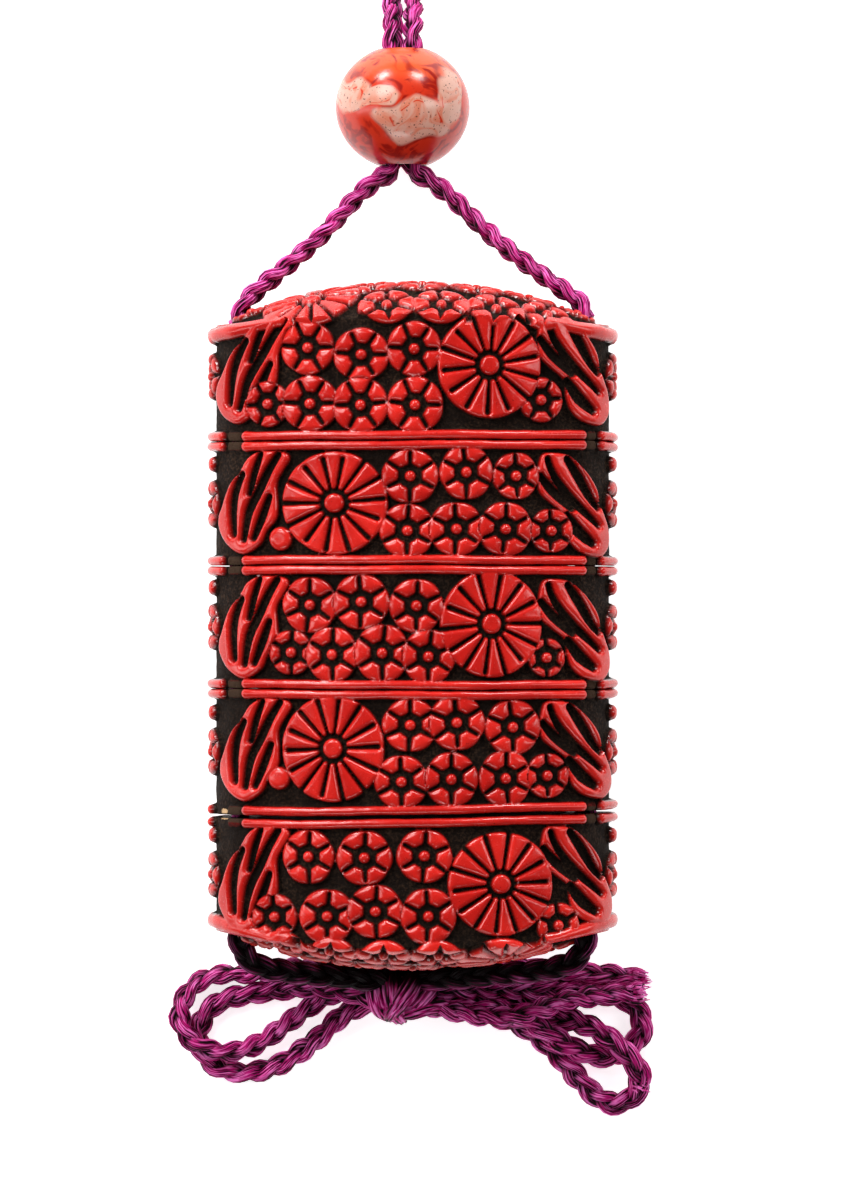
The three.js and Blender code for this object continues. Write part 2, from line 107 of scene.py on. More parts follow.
routes = {
    "leftRise": [
        [-21.9, 38.9, 13.2], [-21.8, 39.9, 13.2], [-21.3, 40.9, 13.1], [-20.4, 41.9, 12.8],
        [-16.5, 45.3, 11.9], [-11.5, 49.8, 10.4], [-6.8, 54.9, 9.3], [-4.4, 57, 8.8],
    ],
    "rightRise": [
        [21.9, 38.9, 13.2], [21.8, 39.9, 13.2], [21.2, 40.9, 13.1], [20.2, 41.8, 12.8],
        [15.4, 45.3, 11.9], [9.8, 49.8, 10.4], [4.6, 54.9, 9.3], [2, 57, 8.8],
    ],
    "netsukeLoop": [
        [-2.55, 58.6, 8.55], [-2.55, 66, 8.55], [-2.55, 73, 8.5], [-2.55, 76, 7.6], [-2.6, 78.8, 5.2],
        [-2.8, 81.4, 2.8], [-3.7, 84, 1.4], [-5, 86.4, 1.1], [-5.7, 89, 1.1], [-4.6, 91.8, 1.1],
        [-1.3, 93.2, 1.1], [2, 91.8, 1.1], [3.1, 89, 1.1], [2.4, 86.4, 1.1], [1.1, 84, 1.4],
        [0.2, 81.4, 2.8], [0, 78.8, 5.2], [-0.05, 76, 7.6], [-0.05, 73, 8.5], [-0.05, 66, 8.55],
        [-0.05, 58.6, 8.55],
    ],
    "leftLead": [
        [-21.9, -39.2, 13.2], [-21.8, -40.6, 13.1], [-21.1, -42.1, 12.9], [-19.4, -43.3, 12.4],
        [-16.3, -44, 11.5], [-12, -44.5, 10.2], [-7.5, -45, 8.9], [-5, -45.4, 8.2],
    ],
    "rightLead": [
        [21.9, -39.2, 13.2], [21.8, -40.6, 13.1], [21, -42.1, 12.9], [19.2, -43.3, 12.4],
        [15.5, -44, 11.5], [10, -44.5, 10.2], [4.8, -45, 8.9], [2, -45.4, 8.2],
    ],
    "leftUpperLoop": [
        [-6, -44.9, 5.2], [-9.8, -44.2, 4.3], [-14, -44.1, 2.6], [-18.3, -44.5, 1.4], [-21.4, -44.9, 1.15],
        [-24.6, -45, 1.15], [-27.4, -45.9, 1.4], [-29.3, -47.8, 2.2], [-30, -50.2, 3.1],
        [-29.1, -52.6, 3.8], [-27, -54.2, 3.8], [-24.2, -54.8, 3.2], [-21.4, -54.4, 2.2],
        [-19.1, -53.4, 1.5], [-16.6, -51.7, 1.15], [-14.5, -50, 1.15], [-12.3, -48.5, 1.15],
        [-9.8, -47.2, 1.2], [-6, -46.4, 2.3],
    ],
    "leftLowerLoop": [
        [-6, -47.5, 5], [-9.8, -46.7, 4.1], [-14, -46.5, 2.4], [-18, -47, 1.25], [-21, -47.5, 1.15],
        [-23.7, -48.1, 1.15], [-25.8, -49.2, 1.15], [-27.1, -50.9, 1.15], [-27.6, -52.9, 1.15],
        [-27.1, -55, 1.15], [-25.4, -56.8, 1.15], [-22.4, -57.6, 1.15], [-19.1, -57.2, 1.15],
        [-16.2, -56, 1.15], [-13.6, -54.3, 1.15], [-11.5, -52.6, 1.15], [-9.8, -50.9, 1.15],
        [-8.1, -49.6, 1.2], [-6, -48.8, 1.6],
    ],
    "rightUpperEnd": [
        [3, -44.3, 6.1], [6, -44, 5.4], [10.3, -44, 3.8], [15.3, -44.3, 1.9], [19.6, -44.6, 1.2],
        [23.8, -45, 1.15], [27, -45.3, 1.15], [29.6, -45.7, 1.3],
    ],
    "rightLowerEnd": [
        [3, -48.9, 5.5], [6, -49.6, 5.5], [9.5, -50.1, 5.7], [13, -50.1, 5.9], [16, -49.3, 5.4],
        [19, -48.3, 4.2], [22, -47.8, 3.5], [25.5, -47.4, 3.5], [29.2, -47.3, 3.2],
    ],
    "rightRearLoop": [
        [3, -46.5, 5.1], [6, -46.5, 4.8], [9.5, -46.5, 3.8], [13.5, -46.7, 2.6], [17, -47, 1.5],
        [20.5, -47.2, 1.15], [23.5, -47.4, 1.15], [26.2, -47.8, 1.15], [28.4, -49, 1.15],
        [29.5, -51, 1.15], [29.1, -53.2, 1.15], [27.3, -54.9, 1.15], [24.9, -55.5, 1.15],
        [22.7, -55.2, 1.5], [20.4, -54.2, 2.5], [18.3, -52.9, 3.2], [16.2, -51.6, 3.4],
        [13.5, -50.1, 3.4], [10, -49, 3.3], [6, -48.2, 3.3], [3, -47.7, 3.3],
    ],
    "rightFrontLoop": [
        [3, -46.3, 1.5], [6, -46.6, 1.3], [10, -47.4, 1.15], [13.5, -48.6, 1.15], [16.2, -49.9, 1.15],
        [18.5, -50.6, 1.15], [21, -51, 1.6], [23.3, -51.8, 3], [25.3, -53.1, 3.9], [27.2, -54.9, 3.9],
        [28.7, -56.8, 2.8], [29.2, -58.9, 1.5], [28.2, -60.9, 1.15], [25.9, -61.7, 1.15],
        [23.7, -60.8, 1.15], [22, -59.1, 1.15], [20.3, -57.2, 1.15], [18.5, -55.2, 1.15],
        [16.8, -53.6, 1.15], [15, -52.3, 1.15], [12.5, -51.1, 1.15], [9.5, -50.1, 1.15],
        [6, -49.4, 1.2], [3, -48.9, 1.3],
    ],
    # stretches inside the knot, which join one loop to the next
    "leftLeadTurn": [[-2.6, -45.9, 7.7], [-1.2, -46.6, 6.6], [-2.6, -46.2, 5.7]],
    "leftCrossing": [[-3, -46.6, 3.3], [0, -46.7, 4.4]],
    "rearTurn": [[0.6, -47.2, 3.7], [-0.7, -46, 4.6], [0.6, -44.8, 5.7]],
    "rightLeadTurn": [[-0.2, -46.1, 7.4], [-2, -47.4, 6.8], [-3.9, -47.7, 5.8]],
    "rightCrossing": [[-3, -48.1, 1.7], [0, -47, 1.7]],
    "frontTurn": [[0.4, -48.4, 1.8], [-1, -48.4, 3.4], [0.4, -48.5, 5]],
}

cordLook = {
    "diameter": 2.2,
    "strands": 3,
    "sway": 0.74,  # how far a strand swings to either side
    "cross": 0.36,  # and up and down, where it passes over the next
    "strand": 0.66,  # radius of one strand
    "pitch": 8.2,  # length in which a strand comes back to its place
    "unevenSway": (0.05, 1.7),  # how much a strand strays from that, and how often along the cord
    "unevenCross": (0.03, 2.3),
    "unevenStrand": (0.08, 1.1),
    "wander": (0.5, 17, 0.6),  # slow turning of the whole plait: how far, how slowly, and at its start
    "rollWander": (0.25, 9),  # the same for a cord with a roll of its own
    "step": 0.55,
    "sides": 27,
    "threads": 9,  # bundles of silk that show round a strand
    "threadDepth": 0.09,
    "threadTone": 0.12,  # how much less painted shade a bundle's crest takes
    "threadTwist": 0.25,
    "floorGap": 0.02,
    "paintedLeadShade": (18, 25, 0.64),  # painted shade on the leads: the silk is dark for so far out of the case, unshaded from there on; how dark
    "paintedBaseShade": ((-1, -43.2), (12, 5.5), 0.48, 1.35),  # painted shade on the silk under the base: middle, reach, strength, edge
    "channel": (-39, -20, 0, 20, 38.7),  # points of the cord inside a bore
}


def joinRoutes(*names):
    points = []
    for name in names:
        backwards = name.startswith("-")
        part = routes[name.lstrip("-")]
        points += part[::-1] if backwards else part
    return points


def curvePoints(a, b, c, d, count):
    # points of a soft curve from b to c, with a and d as its neighbours
    for t in (i / count for i in range(count)):
        yield 0.5 * (2 * b + (c - a) * t + (2 * a - 5 * b + 4 * c - d) * t * t
                     + (3 * b - a - 3 * c + d) * t ** 3)


def smoothPath(points, step):
    # a soft curve through all the points, walked at even steps
    knots = [Vector(p) for p in points]
    knots = [knots[0] * 2 - knots[1], *knots, knots[-1] * 2 - knots[-2]]
    fine = []
    for stretch in zip(knots, knots[1:], knots[2:], knots[3:]):
        fine += curvePoints(*stretch, 24)
    fine.append(knots[-2])
    fine = np.array(fine)
    lengths = np.concatenate([[0], np.cumsum(np.linalg.norm(np.diff(fine, axis=0), axis=1))])
    count = max(2, round(lengths[-1] / step))
    even = np.linspace(0, lengths[-1], count + 1)
    return np.stack([np.interp(even, lengths, fine[:, i]) for i in range(3)], axis=1), even


def carryFrame(path):
    # two directions square to the path that turn with it as little as they can
    tangents = np.gradient(path, axis=0)
    tangents /= np.linalg.norm(tangents, axis=1)[:, None]
    side = np.cross(tangents[0], (0, 0, 1))
    if np.linalg.norm(side) < 0.1:
        side = np.cross(tangents[0], (0, 1, 0))
    sides = []
    for tangent in tangents:
        side = side - tangent * np.dot(side, tangent)
        side = side / np.linalg.norm(side)
        sides.append(side)
    return np.array(sides), np.cross(tangents, sides)


def tube(line, radius, sides, along, middle=None, threads=0):
    # one tube round a line: its corners, how far out of the plait they lie, its faces and a strip of UV
    # with the length in millimetres
    across, up = carryFrame(line)
    angles = np.arange(sides) * 2 * pi / sides
    radius = np.broadcast_to(radius, len(line))[:, None] * np.ones(sides)
    if threads:
        ridges = np.cos(threads * angles[None, :] + cordLook["threadTwist"] * along[:, None])
        radius = radius * (1 + cordLook["threadDepth"] * ridges)
    sideways, upwards = np.cos(angles)[None, :, None], np.sin(angles)[None, :, None]
    ring = sideways * across[:, None] + upwards * up[:, None]
    corners = line[:, None] + ring * radius[:, :, None]
    corners[..., 2] = np.maximum(corners[..., 2], cordLook["floorGap"])  # flat where it rests
    outward = np.ones((len(line), sides))
    # how far out of the plait a corner lies sets its painted shade; a thread's crest takes less
    if middle is not None:
        outward = np.linalg.norm(corners - middle[:, None], axis=2)
        if threads:
            outward = outward + cordLook["threadTone"] * ridges
    rows = len(line)
    faces, uvs = [], []
    for i in range(rows - 1):
        for j in range(sides):
            k = (j + 1) % sides
            faces.append((i * sides + j, i * sides + k, (i + 1) * sides + k, (i + 1) * sides + j))
            u, v = j / sides, (j + 1) / sides
            uvs += [(u, along[i]), (v, along[i]), (v, along[i + 1]), (u, along[i + 1])]
    faces.append(tuple(range(sides))[::-1])
    faces.append(tuple((rows - 1) * sides + j for j in range(sides)))
    uvs += [(0.5, along[0])] * sides + [(0.5, along[-1])] * sides
    return corners.reshape(-1, 3), outward.ravel(), faces, uvs


def meshFrom(bm, name):
    bmesh.ops.recalc_face_normals(bm, faces=bm.faces)
    mesh = bpy.data.meshes.new(name)
    bm.to_mesh(mesh)
    bm.free()
    return mesh


def storeAttribute(mesh, name, values):
    attribute = mesh.attributes.new(name, "FLOAT", "POINT")
    attribute.data.foreach_set("value", np.asarray(values, dtype=np.float32))


def tubesMesh(name, tubes):
    corners, outwards, faces, uvs = [], [], [], []
    for someCorners, someOut, someFaces, someUvs in tubes:
        base = sum(len(x) for x in corners)
        corners.append(someCorners)
        outwards.append(someOut)
        faces += [tuple(base + i for i in face) for face in someFaces]
        uvs += someUvs
    mesh = bpy.data.meshes.new(name)
    mesh.from_pydata(np.concatenate(corners) * mm, [], faces)
    layer = mesh.uv_layers.new(name="strandMap")
    layer.data.foreach_set("uv", np.array(uvs, dtype=np.float32).ravel())
    storeAttribute(mesh, "outward", np.concatenate(outwards))
    bm = bmesh.new()
    bm.from_mesh(mesh)
    bmesh.ops.recalc_face_normals(bm, faces=bm.faces)
    bm.to_mesh(mesh)
    bm.free()
    mesh.shade_smooth()
    return mesh


def uneven(name, along, shift):
    amount, rate = cordLook[name]
    return amount * np.sin(along * rate + shift)


def plaitTubes(path, along, seed, thick=1, roll=None):
    # strands that swing from side to side and pass over and under each other
    draw = random.Random(seed)
    across, up = carryFrame(path)
    phase = draw.random() * 2 * pi
    if roll is None:
        reach, length, start = cordLook["wander"]
        roll = reach * np.sin(along / length + draw.random() * 6) + draw.random() * start
    leftward = across * np.cos(roll)[:, None] + up * np.sin(roll)[:, None]
    upward = up * np.cos(roll)[:, None] - across * np.sin(roll)[:, None]
    tubes = []
    for k in range(cordLook["strands"]):
        turn = 2 * pi * along / (cordLook["pitch"] * thick) + phase + 2 * pi * k / cordLook["strands"]
        swing = thick * (cordLook["sway"] * np.sin(turn) + uneven("unevenSway", along, 2 * k))
        lift = thick * (cordLook["cross"] * np.sin(2 * turn) + uneven("unevenCross", along, k))
        line = path + leftward * swing[:, None] + upward * lift[:, None]
        radius = thick * cordLook["strand"] * (1 + uneven("unevenStrand", along, 2.1 * k + seed))
        tubes.append(tube(line, radius, cordLook["sides"], along + 31 * k, path, cordLook["threads"]))
    return tubes


def paintedShadeUnderBase(corners, outward):
    # painted shade: darkens the silk near the middle under the base
    (x, y), (reachX, reachY), strength, edge = cordLook["paintedBaseShade"]
    away = np.hypot((corners[:, 0] - x) / reachX, (corners[:, 1] - y) / reachY)
    return outward * (1 - strength * np.clip(edge * (1 - away), 0, 1))


# materials

def newMaterial(name):
    material = bpy.data.materials.new(name)
    material.use_nodes = True
    tree = material.node_tree
    return material, tree, tree.nodes["Principled BSDF"]


def addNode(tree, kind, settings=None, **inputs):
    # an input is named, or numbered as i0, i1 and so on
    node = tree.nodes.new("ShaderNode" + kind)
    for key, value in (settings or {}).items():
        setattr(node, key, value)
    for key, value in inputs.items():
        socket = node.inputs[int(key[1:])] if key[0] == "i" and key[1:].isdigit() else node.inputs[key]
        if isinstance(value, bpy.types.NodeSocket):
            tree.links.new(value, socket)
        else:
            socket.default_value = value
    return node


def noiseOf(tree, vector, scale, detail=2, roughness=0.5, distortion=0):
    return addNode(tree, "TexNoise", Vector=vector, Scale=scale, Detail=detail,
                   Roughness=roughness, Distortion=distortion).outputs["Fac"]


def objectPlace(tree):
    return addNode(tree, "TexCoord").outputs["Object"]


def attributeOf(tree, name):
    return addNode(tree, "Attribute", {"attribute_name": name}).outputs["Fac"]


def remap(tree, value, fromLow, fromHigh, toLow=0, toHigh=1):
    node = addNode(tree, "MapRange", {"interpolation_type": "SMOOTHSTEP"},
                   i0=value, i1=fromLow, i2=fromHigh, i3=toLow, i4=toHigh)
    return node.outputs[0]


def sums(tree, operation, a, b, c=0):
    return addNode(tree, "Math", {"operation": operation}, i0=a, i1=b, i2=c).outputs[0]


def product(tree, a, b):
    return sums(tree, "MULTIPLY", a, b)


def mixColour(tree, factor, a, b):
    return addNode(tree, "Mix", {"data_type": "RGBA"}, i0=factor, i6=a, i7=b).outputs[2]


def bumpOf(tree, height, strength, distance, **under):
    # under may hold Normal, a finer bump that this one goes over
    node = addNode(tree, "Bump", Height=height, Strength=strength, Distance=distance, **under)
    return node.outputs["Normal"]


def finish(tree, shader, colour, roughness, specular, normal=None):
    # roughness is a number or a socket; specular is the same all over
    tree.links.new(colour, shader.inputs["Base Color"])
    if isinstance(roughness, bpy.types.NodeSocket):
        tree.links.new(roughness, shader.inputs["Roughness"])
    else:
        shader.inputs["Roughness"].default_value = roughness
    shader.inputs["Specular IOR Level"].default_value = specular
    if normal is not None:
        tree.links.new(normal, shader.inputs["Normal"])


lacquerLook = {
    "red": (0.52, 0.010, 0.007, 1),
    "brightRed": (0.70, 0.019, 0.013, 1),
    # painted shade for the relief's shoulders and walls
    "paintedShadeRed": (0.14, 0.003, 0.002, 1),
    "ground": (0.007, 0.0035, 0.0022, 1),
    "dust": (0.045, 0.024, 0.014, 1),
    "inside": (0.006, 0.005, 0.005, 1),
    "wood": (0.6, 0.38, 0.2, 1),
    "bare": (0.045, 0.024, 0.014, 1),
    "polishedSpecular": 0.5,
    "dullSpecular": 0.12,
    "redFrom": 0.3,  # height at which ground gives way to red, in millimetres
    "redTo": 0.58,
    "parting": 0.5,  # faces higher than this take the polished finish
}


def lacquerMaterial(name, polished):
    # the same colours in a polished finish for the relief and a dull one for the ground between
    look = lacquerLook
    material, tree, shader = newMaterial(name)
    place = objectPlace(tree)
    height = attributeOf(tree, "relief")
    bare = attributeOf(tree, "bare")
    wood = attributeOf(tree, "wood")
    cloud = noiseOf(tree, place, 160, 3)
    grain = noiseOf(tree, place, 2600, 4, 0.65)
    speck = noiseOf(tree, place, 4600, 2, 0.6)
    ragged = sums(tree, "ADD", height, sums(tree, "MULTIPLY_ADD", grain, 0.34, -0.17))
    raised = remap(tree, ragged, look["redFrom"], look["redTo"])
    red = mixColour(tree, remap(tree, cloud, 0.35, 0.7), look["red"], look["brightRed"])
    # painted shade: the red darkens down the relief's shoulders and walls
    red = mixColour(tree, remap(tree, height, 0.5, 1.02), look["paintedShadeRed"], red)
    pits = remap(tree, speck, 0.27, 0.31, 0.85, 0)
    red = mixColour(tree, pits, red, look["ground"])
    dusty = product(tree, remap(tree, grain, 0.42, 0.72), remap(tree, cloud, 0.3, 0.65, 0.15, 1))
    ground = mixColour(tree, dusty, look["ground"], look["dust"])
    hollow = remap(tree, height, -0.45, -0.3, 1, 0)
    ground = mixColour(tree, hollow, ground, look["inside"])
    colour = mixColour(tree, raised, ground, red)
    worn = sums(tree, "ADD", bare, sums(tree, "MULTIPLY_ADD", cloud, 0.5, -0.25))
    colour = mixColour(tree, remap(tree, worn, 0.5, 0.7), colour, look["bare"])
    chipped = remap(tree, sums(tree, "ADD", wood, grain), 1.22, 1.32)
    colour = mixColour(tree, chipped, colour, look["wood"])
    if polished:
        shine = remap(tree, grain, 0.3, 0.75, 0.17, 0.3)
        matte = remap(tree, sums(tree, "MAXIMUM", bare, wood), 0.3, 0.7, 0, 0.5)
        surface = bumpOf(tree, cloud, 0.3, 0.0008, Normal=bumpOf(tree, grain, 0.1, 0.0001))
        finish(tree, shader, colour, sums(tree, "ADD", shine, matte), look["polishedSpecular"], surface)
    else:
        rough = remap(tree, hollow, 0, 1, 0.85, 0.35)
        finish(tree, shader, colour, rough, look["dullSpecular"], bumpOf(tree, grain, 0.8, 0.0003))
    return material


silkLook = {
    # the threads' streak tones: partly their own, with painted shade in the dark streaks and a painted
    # sheen in the light ones
    "dark": (0.010, 0.0002, 0.0035, 1),
    "middle": (0.52, 0.004, 0.175, 1),
    "light": (1.0, 0.21, 0.65, 1),
    # painted shade of the gaps between strands
    "shade": (0.003, 0.0001, 0.001, 1),
    "threadScale": (14, 0.24, 1),  # round the strand and along it
    "threadSlant": 0.02,
    "shadeFrom": 1.3,  # distance from the plait's middle, in millimetres, where the painted shade of its gaps begins
    "shadeTo": 0.7,
    "roughness": (0.6, 0.36),  # in the gaps between threads and on them
    "specular": 0.1,
    "wornSpecular": 0.15,
}


def silkMaterial():
    look = silkLook
    material, tree, shader = newMaterial("magentaSilk")
    strandMap = addNode(tree, "UVMap", {"uv_map": "strandMap"}).outputs["UV"]
    stretched = addNode(tree, "Mapping", Vector=strandMap, Scale=look["threadScale"],
                        Rotation=(0, 0, look["threadSlant"]))
    threads = noiseOf(tree, stretched.outputs[0], 1.6)
    patch = noiseOf(tree, objectPlace(tree), 420)
    # thread streaks: partly the threads' own tone, with painted shade in the dark ones and a painted sheen
    # in the light ones
    colour = mixColour(tree, remap(tree, threads, 0.40, 0.50), look["dark"], look["middle"])
    light = product(tree, remap(tree, threads, 0.505, 0.575), remap(tree, patch, 0.35, 0.6, 0.45, 1))
    colour = mixColour(tree, light, colour, look["light"])
    # painted shade in the gaps between strands, deeper the nearer a point lies to the plait's middle
    depth = remap(tree, attributeOf(tree, "outward"), look["shadeTo"], look["shadeFrom"], 1, 0)
    colour = mixColour(tree, depth, colour, look["shade"])
    rough = remap(tree, threads, 0.35, 0.65, *look["roughness"])
    finish(tree, shader, colour, rough, look["specular"], bumpOf(tree, threads, 1, 0.0004))
    return material


def wornSilkMaterial():
    # pale loose fibres at the cut ends and the worn turn
    material, tree, shader = newMaterial("wornSilk")
    patch = noiseOf(tree, objectPlace(tree), 900)
    colour = mixColour(tree, remap(tree, patch, 0.35, 0.6), silkLook["middle"], silkLook["light"])
    finish(tree, shader, colour, 0.7, silkLook["wornSpecular"])
    return material


beadLook = {
    "centre": (-1.3, 66.1, 8.55),
    "radius": 8.55,
    "half": 7.95,
    "hole": 2.75,
    "holeLip": 0.45,
    "turns": 72,
    "steps": 40,
    "orange": (0.56, 0.028, 0.008, 1),
    "glaze": (0.70, 0.085, 0.018, 1),  # lighter towards the top
    "deepOrange": (0.28, 0.006, 0.002, 1),
    "pale": (0.64, 0.35, 0.27, 1),
    "palePink": (0.64, 0.20, 0.12, 1),
    "speck": (0.06, 0.018, 0.01, 1),
    "stir": 0.0042,  # how far the glaze is stirred about, in metres
    "vein": 0.62,  # share of a cloud's reach at which a vein runs round in it
    "clouds": [  # pale clouds in the glaze: middle from the bead's own, and reach
        ((1.6, -1.9, 7.8), (5.2, 2.7, 5)),
        ((5.8, 1.6, 5.5), (2.0, 3.9, 5)),
        ((-6.6, 1.3, 4.6), (3.8, 2.2, 5)),
        ((-3.2, 1.0, 8.0), (2.6, 0.9, 4)),
        ((-3.0, 2.6, -7.0), (5.5, 2.4, 5)),
        ((4.5, -3.5, -5.5), (4.2, 2.2, 5)),
    ],
}


def beadMaterial():
    look = beadLook
    material, tree, shader = newMaterial("marbledBead")
    place = objectPlace(tree)
    centred = addNode(tree, "Mapping", Vector=place, Location=Vector(look["centre"]) * -mm)
    stir = addNode(tree, "TexNoise", Vector=centred.outputs[0], Scale=210, Detail=1.5, Roughness=0.4)
    pushed = addNode(tree, "VectorMath", {"operation": "MULTIPLY_ADD"}, i0=stir.outputs["Color"],
                     i1=[look["stir"]] * 3, i2=[-look["stir"] / 2] * 3)
    stirred = addNode(tree, "VectorMath", {"operation": "ADD"}, i0=centred.outputs[0], i1=pushed.outputs[0])
    nearest = None
    for middle, reach in look["clouds"]:
        spot = addNode(tree, "Mapping", {"vector_type": "TEXTURE"}, Vector=stirred.outputs[0],
                       Location=Vector(middle) * mm, Scale=Vector(reach) * mm)
        away = addNode(tree, "VectorMath", {"operation": "LENGTH"}, i0=spot.outputs[0]).outputs["Value"]
        nearest = away if nearest is None else sums(tree, "MINIMUM", nearest, away)
    paleShare = remap(tree, nearest, 0.84, 1.08, 1, 0)
    height = addNode(tree, "SeparateXYZ", Vector=stirred.outputs[0]).outputs["Y"]
    fine = noiseOf(tree, stirred.outputs[0], 420, 2, 0.5, 1.2)
    orange = mixColour(tree, remap(tree, height, 0.0015, 0.0055), look["orange"], look["glaze"])
    orange = mixColour(tree, remap(tree, fine, 0.34, 0.52), look["deepOrange"], orange)
    pale = mixColour(tree, remap(tree, fine, 0.42, 0.64), look["pale"], look["palePink"])
    colour = mixColour(tree, paleShare, orange, pale)
    fromVein = sums(tree, "ABSOLUTE", sums(tree, "SUBTRACT", nearest, look["vein"]), 0)
    vein = product(tree, remap(tree, fromVein, 0.015, 0.04, 1, 0), remap(tree, fine, 0.5, 0.6))
    colour = mixColour(tree, vein, colour, look["orange"])
    specks = remap(tree, noiseOf(tree, place, 3400, 1), 0.66, 0.7)
    specks = product(tree, specks, remap(tree, paleShare, 0, 1, 0.15, 0.9))
    colour = mixColour(tree, specks, colour, look["speck"])
    finish(tree, shader, colour, 0.22, 0.42, bumpOf(tree, fine, 0.05, 0.0005))
    return material


def floorMaterial():
    material, tree, shader = newMaterial("paleFloor")
    place = objectPlace(tree)
    tint = mixColour(tree, noiseOf(tree, place, 3, 2), studio["floorColour"], studio["floorTint"])
    tree.links.new(tint, shader.inputs["Base Color"])
    shader.inputs["Roughness"].default_value = 0.75
    shader.inputs["Emission Color"].default_value = (1, 1, 1, 1)
    shader.inputs["Emission Strength"].default_value = studio["floorGlow"]
    return material


def addPiece(name, mesh, material, replaced=()):
    piece = bpy.data.objects.new(name, mesh)
    bpy.context.scene.collection.objects.link(piece)
    mesh.materials.clear()
    mesh.materials.append(material)
    if replaced:
        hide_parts(*replaced)
    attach(piece, "root")
    return piece


# the oval section of the cases

case = {
    "width": 24.9,
    "depth": 12.4,
    "end": 9,
    "axisHeight": 13.2,
    "cavity": (18.4, 10.5, 9.4),
    "rimGrow": (1.3, 0.8, 0.6),
    "rimHeight": 3,
    "fitGap": 0.3,
    "floorThickness": 1.3,
    "lidCeiling": 35,
    "baseFloor": -36.8,
    "joints": [23.25, 7.6, -8.0, -23.8],
    "lean": 0.28,  # rise of the lowest joint from the front to one side
    "jointGaps": [0.12, 0.12, 0.12, 0.46],
    "topDome": {"crown": 42.65, "x": 40, "y": 26, "z": 23},
    "bottomDome": {"crown": -42.65, "x": 40, "y": 23.2, "z": 27},
    "boreRadius": 1.45,
    "boreX": 21.9,
    "domeFoot": 15,  # the block that holds a dome reaches to here
    "underFloor": (200, 200, 20),  # and this one lies under the floor
}


class Oval:
    # a flattened oval of four arcs; runs are measured round it from the middle of the front
    def __init__(self, width, depth, end):
        self.width, self.depth, self.end = width, depth, end
        self.broad = ((width - end) ** 2 + depth ** 2 - end ** 2) / (2 * (depth - end))
        self.turn = atan2(width - end, self.broad - depth)
        self.broadRun = self.broad * self.turn
        self.quarter = self.broadRun + end * (pi / 2 - self.turn)

    def bend(self, run, height):
        run = np.asarray(run, dtype=float)
        away = np.abs(run)
        behind = away > self.quarter
        near = np.where(behind, 2 * self.quarter - away, away)
        onBroad = near < self.broadRun
        angle = np.where(onBroad, near / self.broad, self.turn + (near - self.broadRun) / self.end)
        radius = np.where(onBroad, self.broad, self.end) + height
        x = radius * np.sin(angle) + np.where(onBroad, 0, self.width - self.end)
        z = radius * np.cos(angle) - np.where(onBroad, self.broad - self.depth, 0)
        return np.sign(run) * x, np.where(behind, -z, z)

    def unbend(self, x, z):
        side, front = np.abs(x), np.abs(z)
        angle = np.arctan2(side, front + self.broad - self.depth)
        onBroad = angle < self.turn
        endAngle = np.arctan2(side - self.width + self.end, front)
        near = np.where(onBroad, self.broad * angle, self.broadRun + self.end * (endAngle - self.turn))
        height = np.where(
            onBroad,
            np.hypot(side, front + self.broad - self.depth) - self.broad,
            np.hypot(side - self.width + self.end, front) - self.end,
        )
        away = np.where(z < 0, 2 * self.quarter - near, near)
        return np.sign(x) * away, height

    def runAt(self, x, height=1.1):
        # the run of a point seen at x from the front
        reach = abs(x)
        if reach < (self.broad + height) * sin(self.turn):
            return self.broad * np.arcsin(x / (self.broad + height))
        beyond = np.arcsin(min(1, (reach - self.width + self.end) / (self.end + height)))
        return float(np.sign(x) * (self.broadRun + self.end * (beyond - self.turn)))


oval = Oval(case["width"], case["depth"], case["end"])
around = 2 * oval.quarter  # from the middle of the front to the middle of the back
lowestJoint = len(case["joints"]) - 1
domeOf = {0: "topDome", lowestJoint + 1: "bottomDome"}  # the lid and the base are domed

# carving: each motif gives, for points of the flattened wall, its distance and its height

carve = {
    "height": 1.15,
    "lip": 0.46,  # share of the height that stands as a steep wall under the rounded shoulder
    "shoulder": 0.5,
    "wall": 0.13,
    "plumRadius": 3.55,
    "plumPetals": 6,
    "bigRadius": 6.65,
    "bigPetals": 14,
    "grooveFloor": 0.2,
}


def swell(d, shoulder=None, lip=None):
    shoulder = shoulder or carve["shoulder"]
    lip = carve["lip"] if lip is None else lip
    depth = np.clip(-d / shoulder, 0, 1)
    inside = lip + (1 - lip) * np.sqrt(1 - (1 - depth) ** 2)
    outside = lip * np.clip(1 - d / carve["wall"], 0, 1)
    return np.where(d < 0, inside, outside)


def fromStretch(x, y, start, end):
    # distance to a straight stretch, and how far along it the nearest point lies
    (ax, ay), (bx, by) = start, end
    span = (bx - ax) ** 2 + (by - ay) ** 2
    t = np.clip(((x - ax) * (bx - ax) + (y - ay) * (by - ay)) / span, 0, 1)
    return np.hypot(x - ax - t * (bx - ax), y - ay - t * (by - ay)), t


def roundMax(a, b, radius):
    # the greater of two distances, with the corner between them rounded
    corner = np.hypot(np.maximum(a + radius, 0), np.maximum(b + radius, 0))
    return np.minimum(np.maximum(a, b), -radius) + corner


def outlineDistance(x, y, outline):
    # signed distance to a closed outline
    nearest = np.full(x.shape, 1e9)
    inside = np.zeros(x.shape, dtype=bool)
    for (ax, ay), (bx, by) in zip(outline, outline[1:] + outline[:1]):
        nearest = np.minimum(nearest, fromStretch(x, y, (ax, ay), (bx, by))[0])
        crosses = (ay > y) != (by > y)
        at = ax + (y - ay) * (bx - ax) / (by - ay if by != ay else 1e-9)
        inside ^= crosses & (x < at)
    return np.where(inside, -nearest, nearest)


def roundOutline(points, steps=4):
    # softens an outline into a curve through its points
    knots = [Vector(p) for p in points]
    soft = []
    for i in range(len(knots)):
        soft += curvePoints(*(knots[(i + k) % len(knots)] for k in (-1, 0, 1, 2)), steps)
    return [(p.x, p.y) for p in soft]


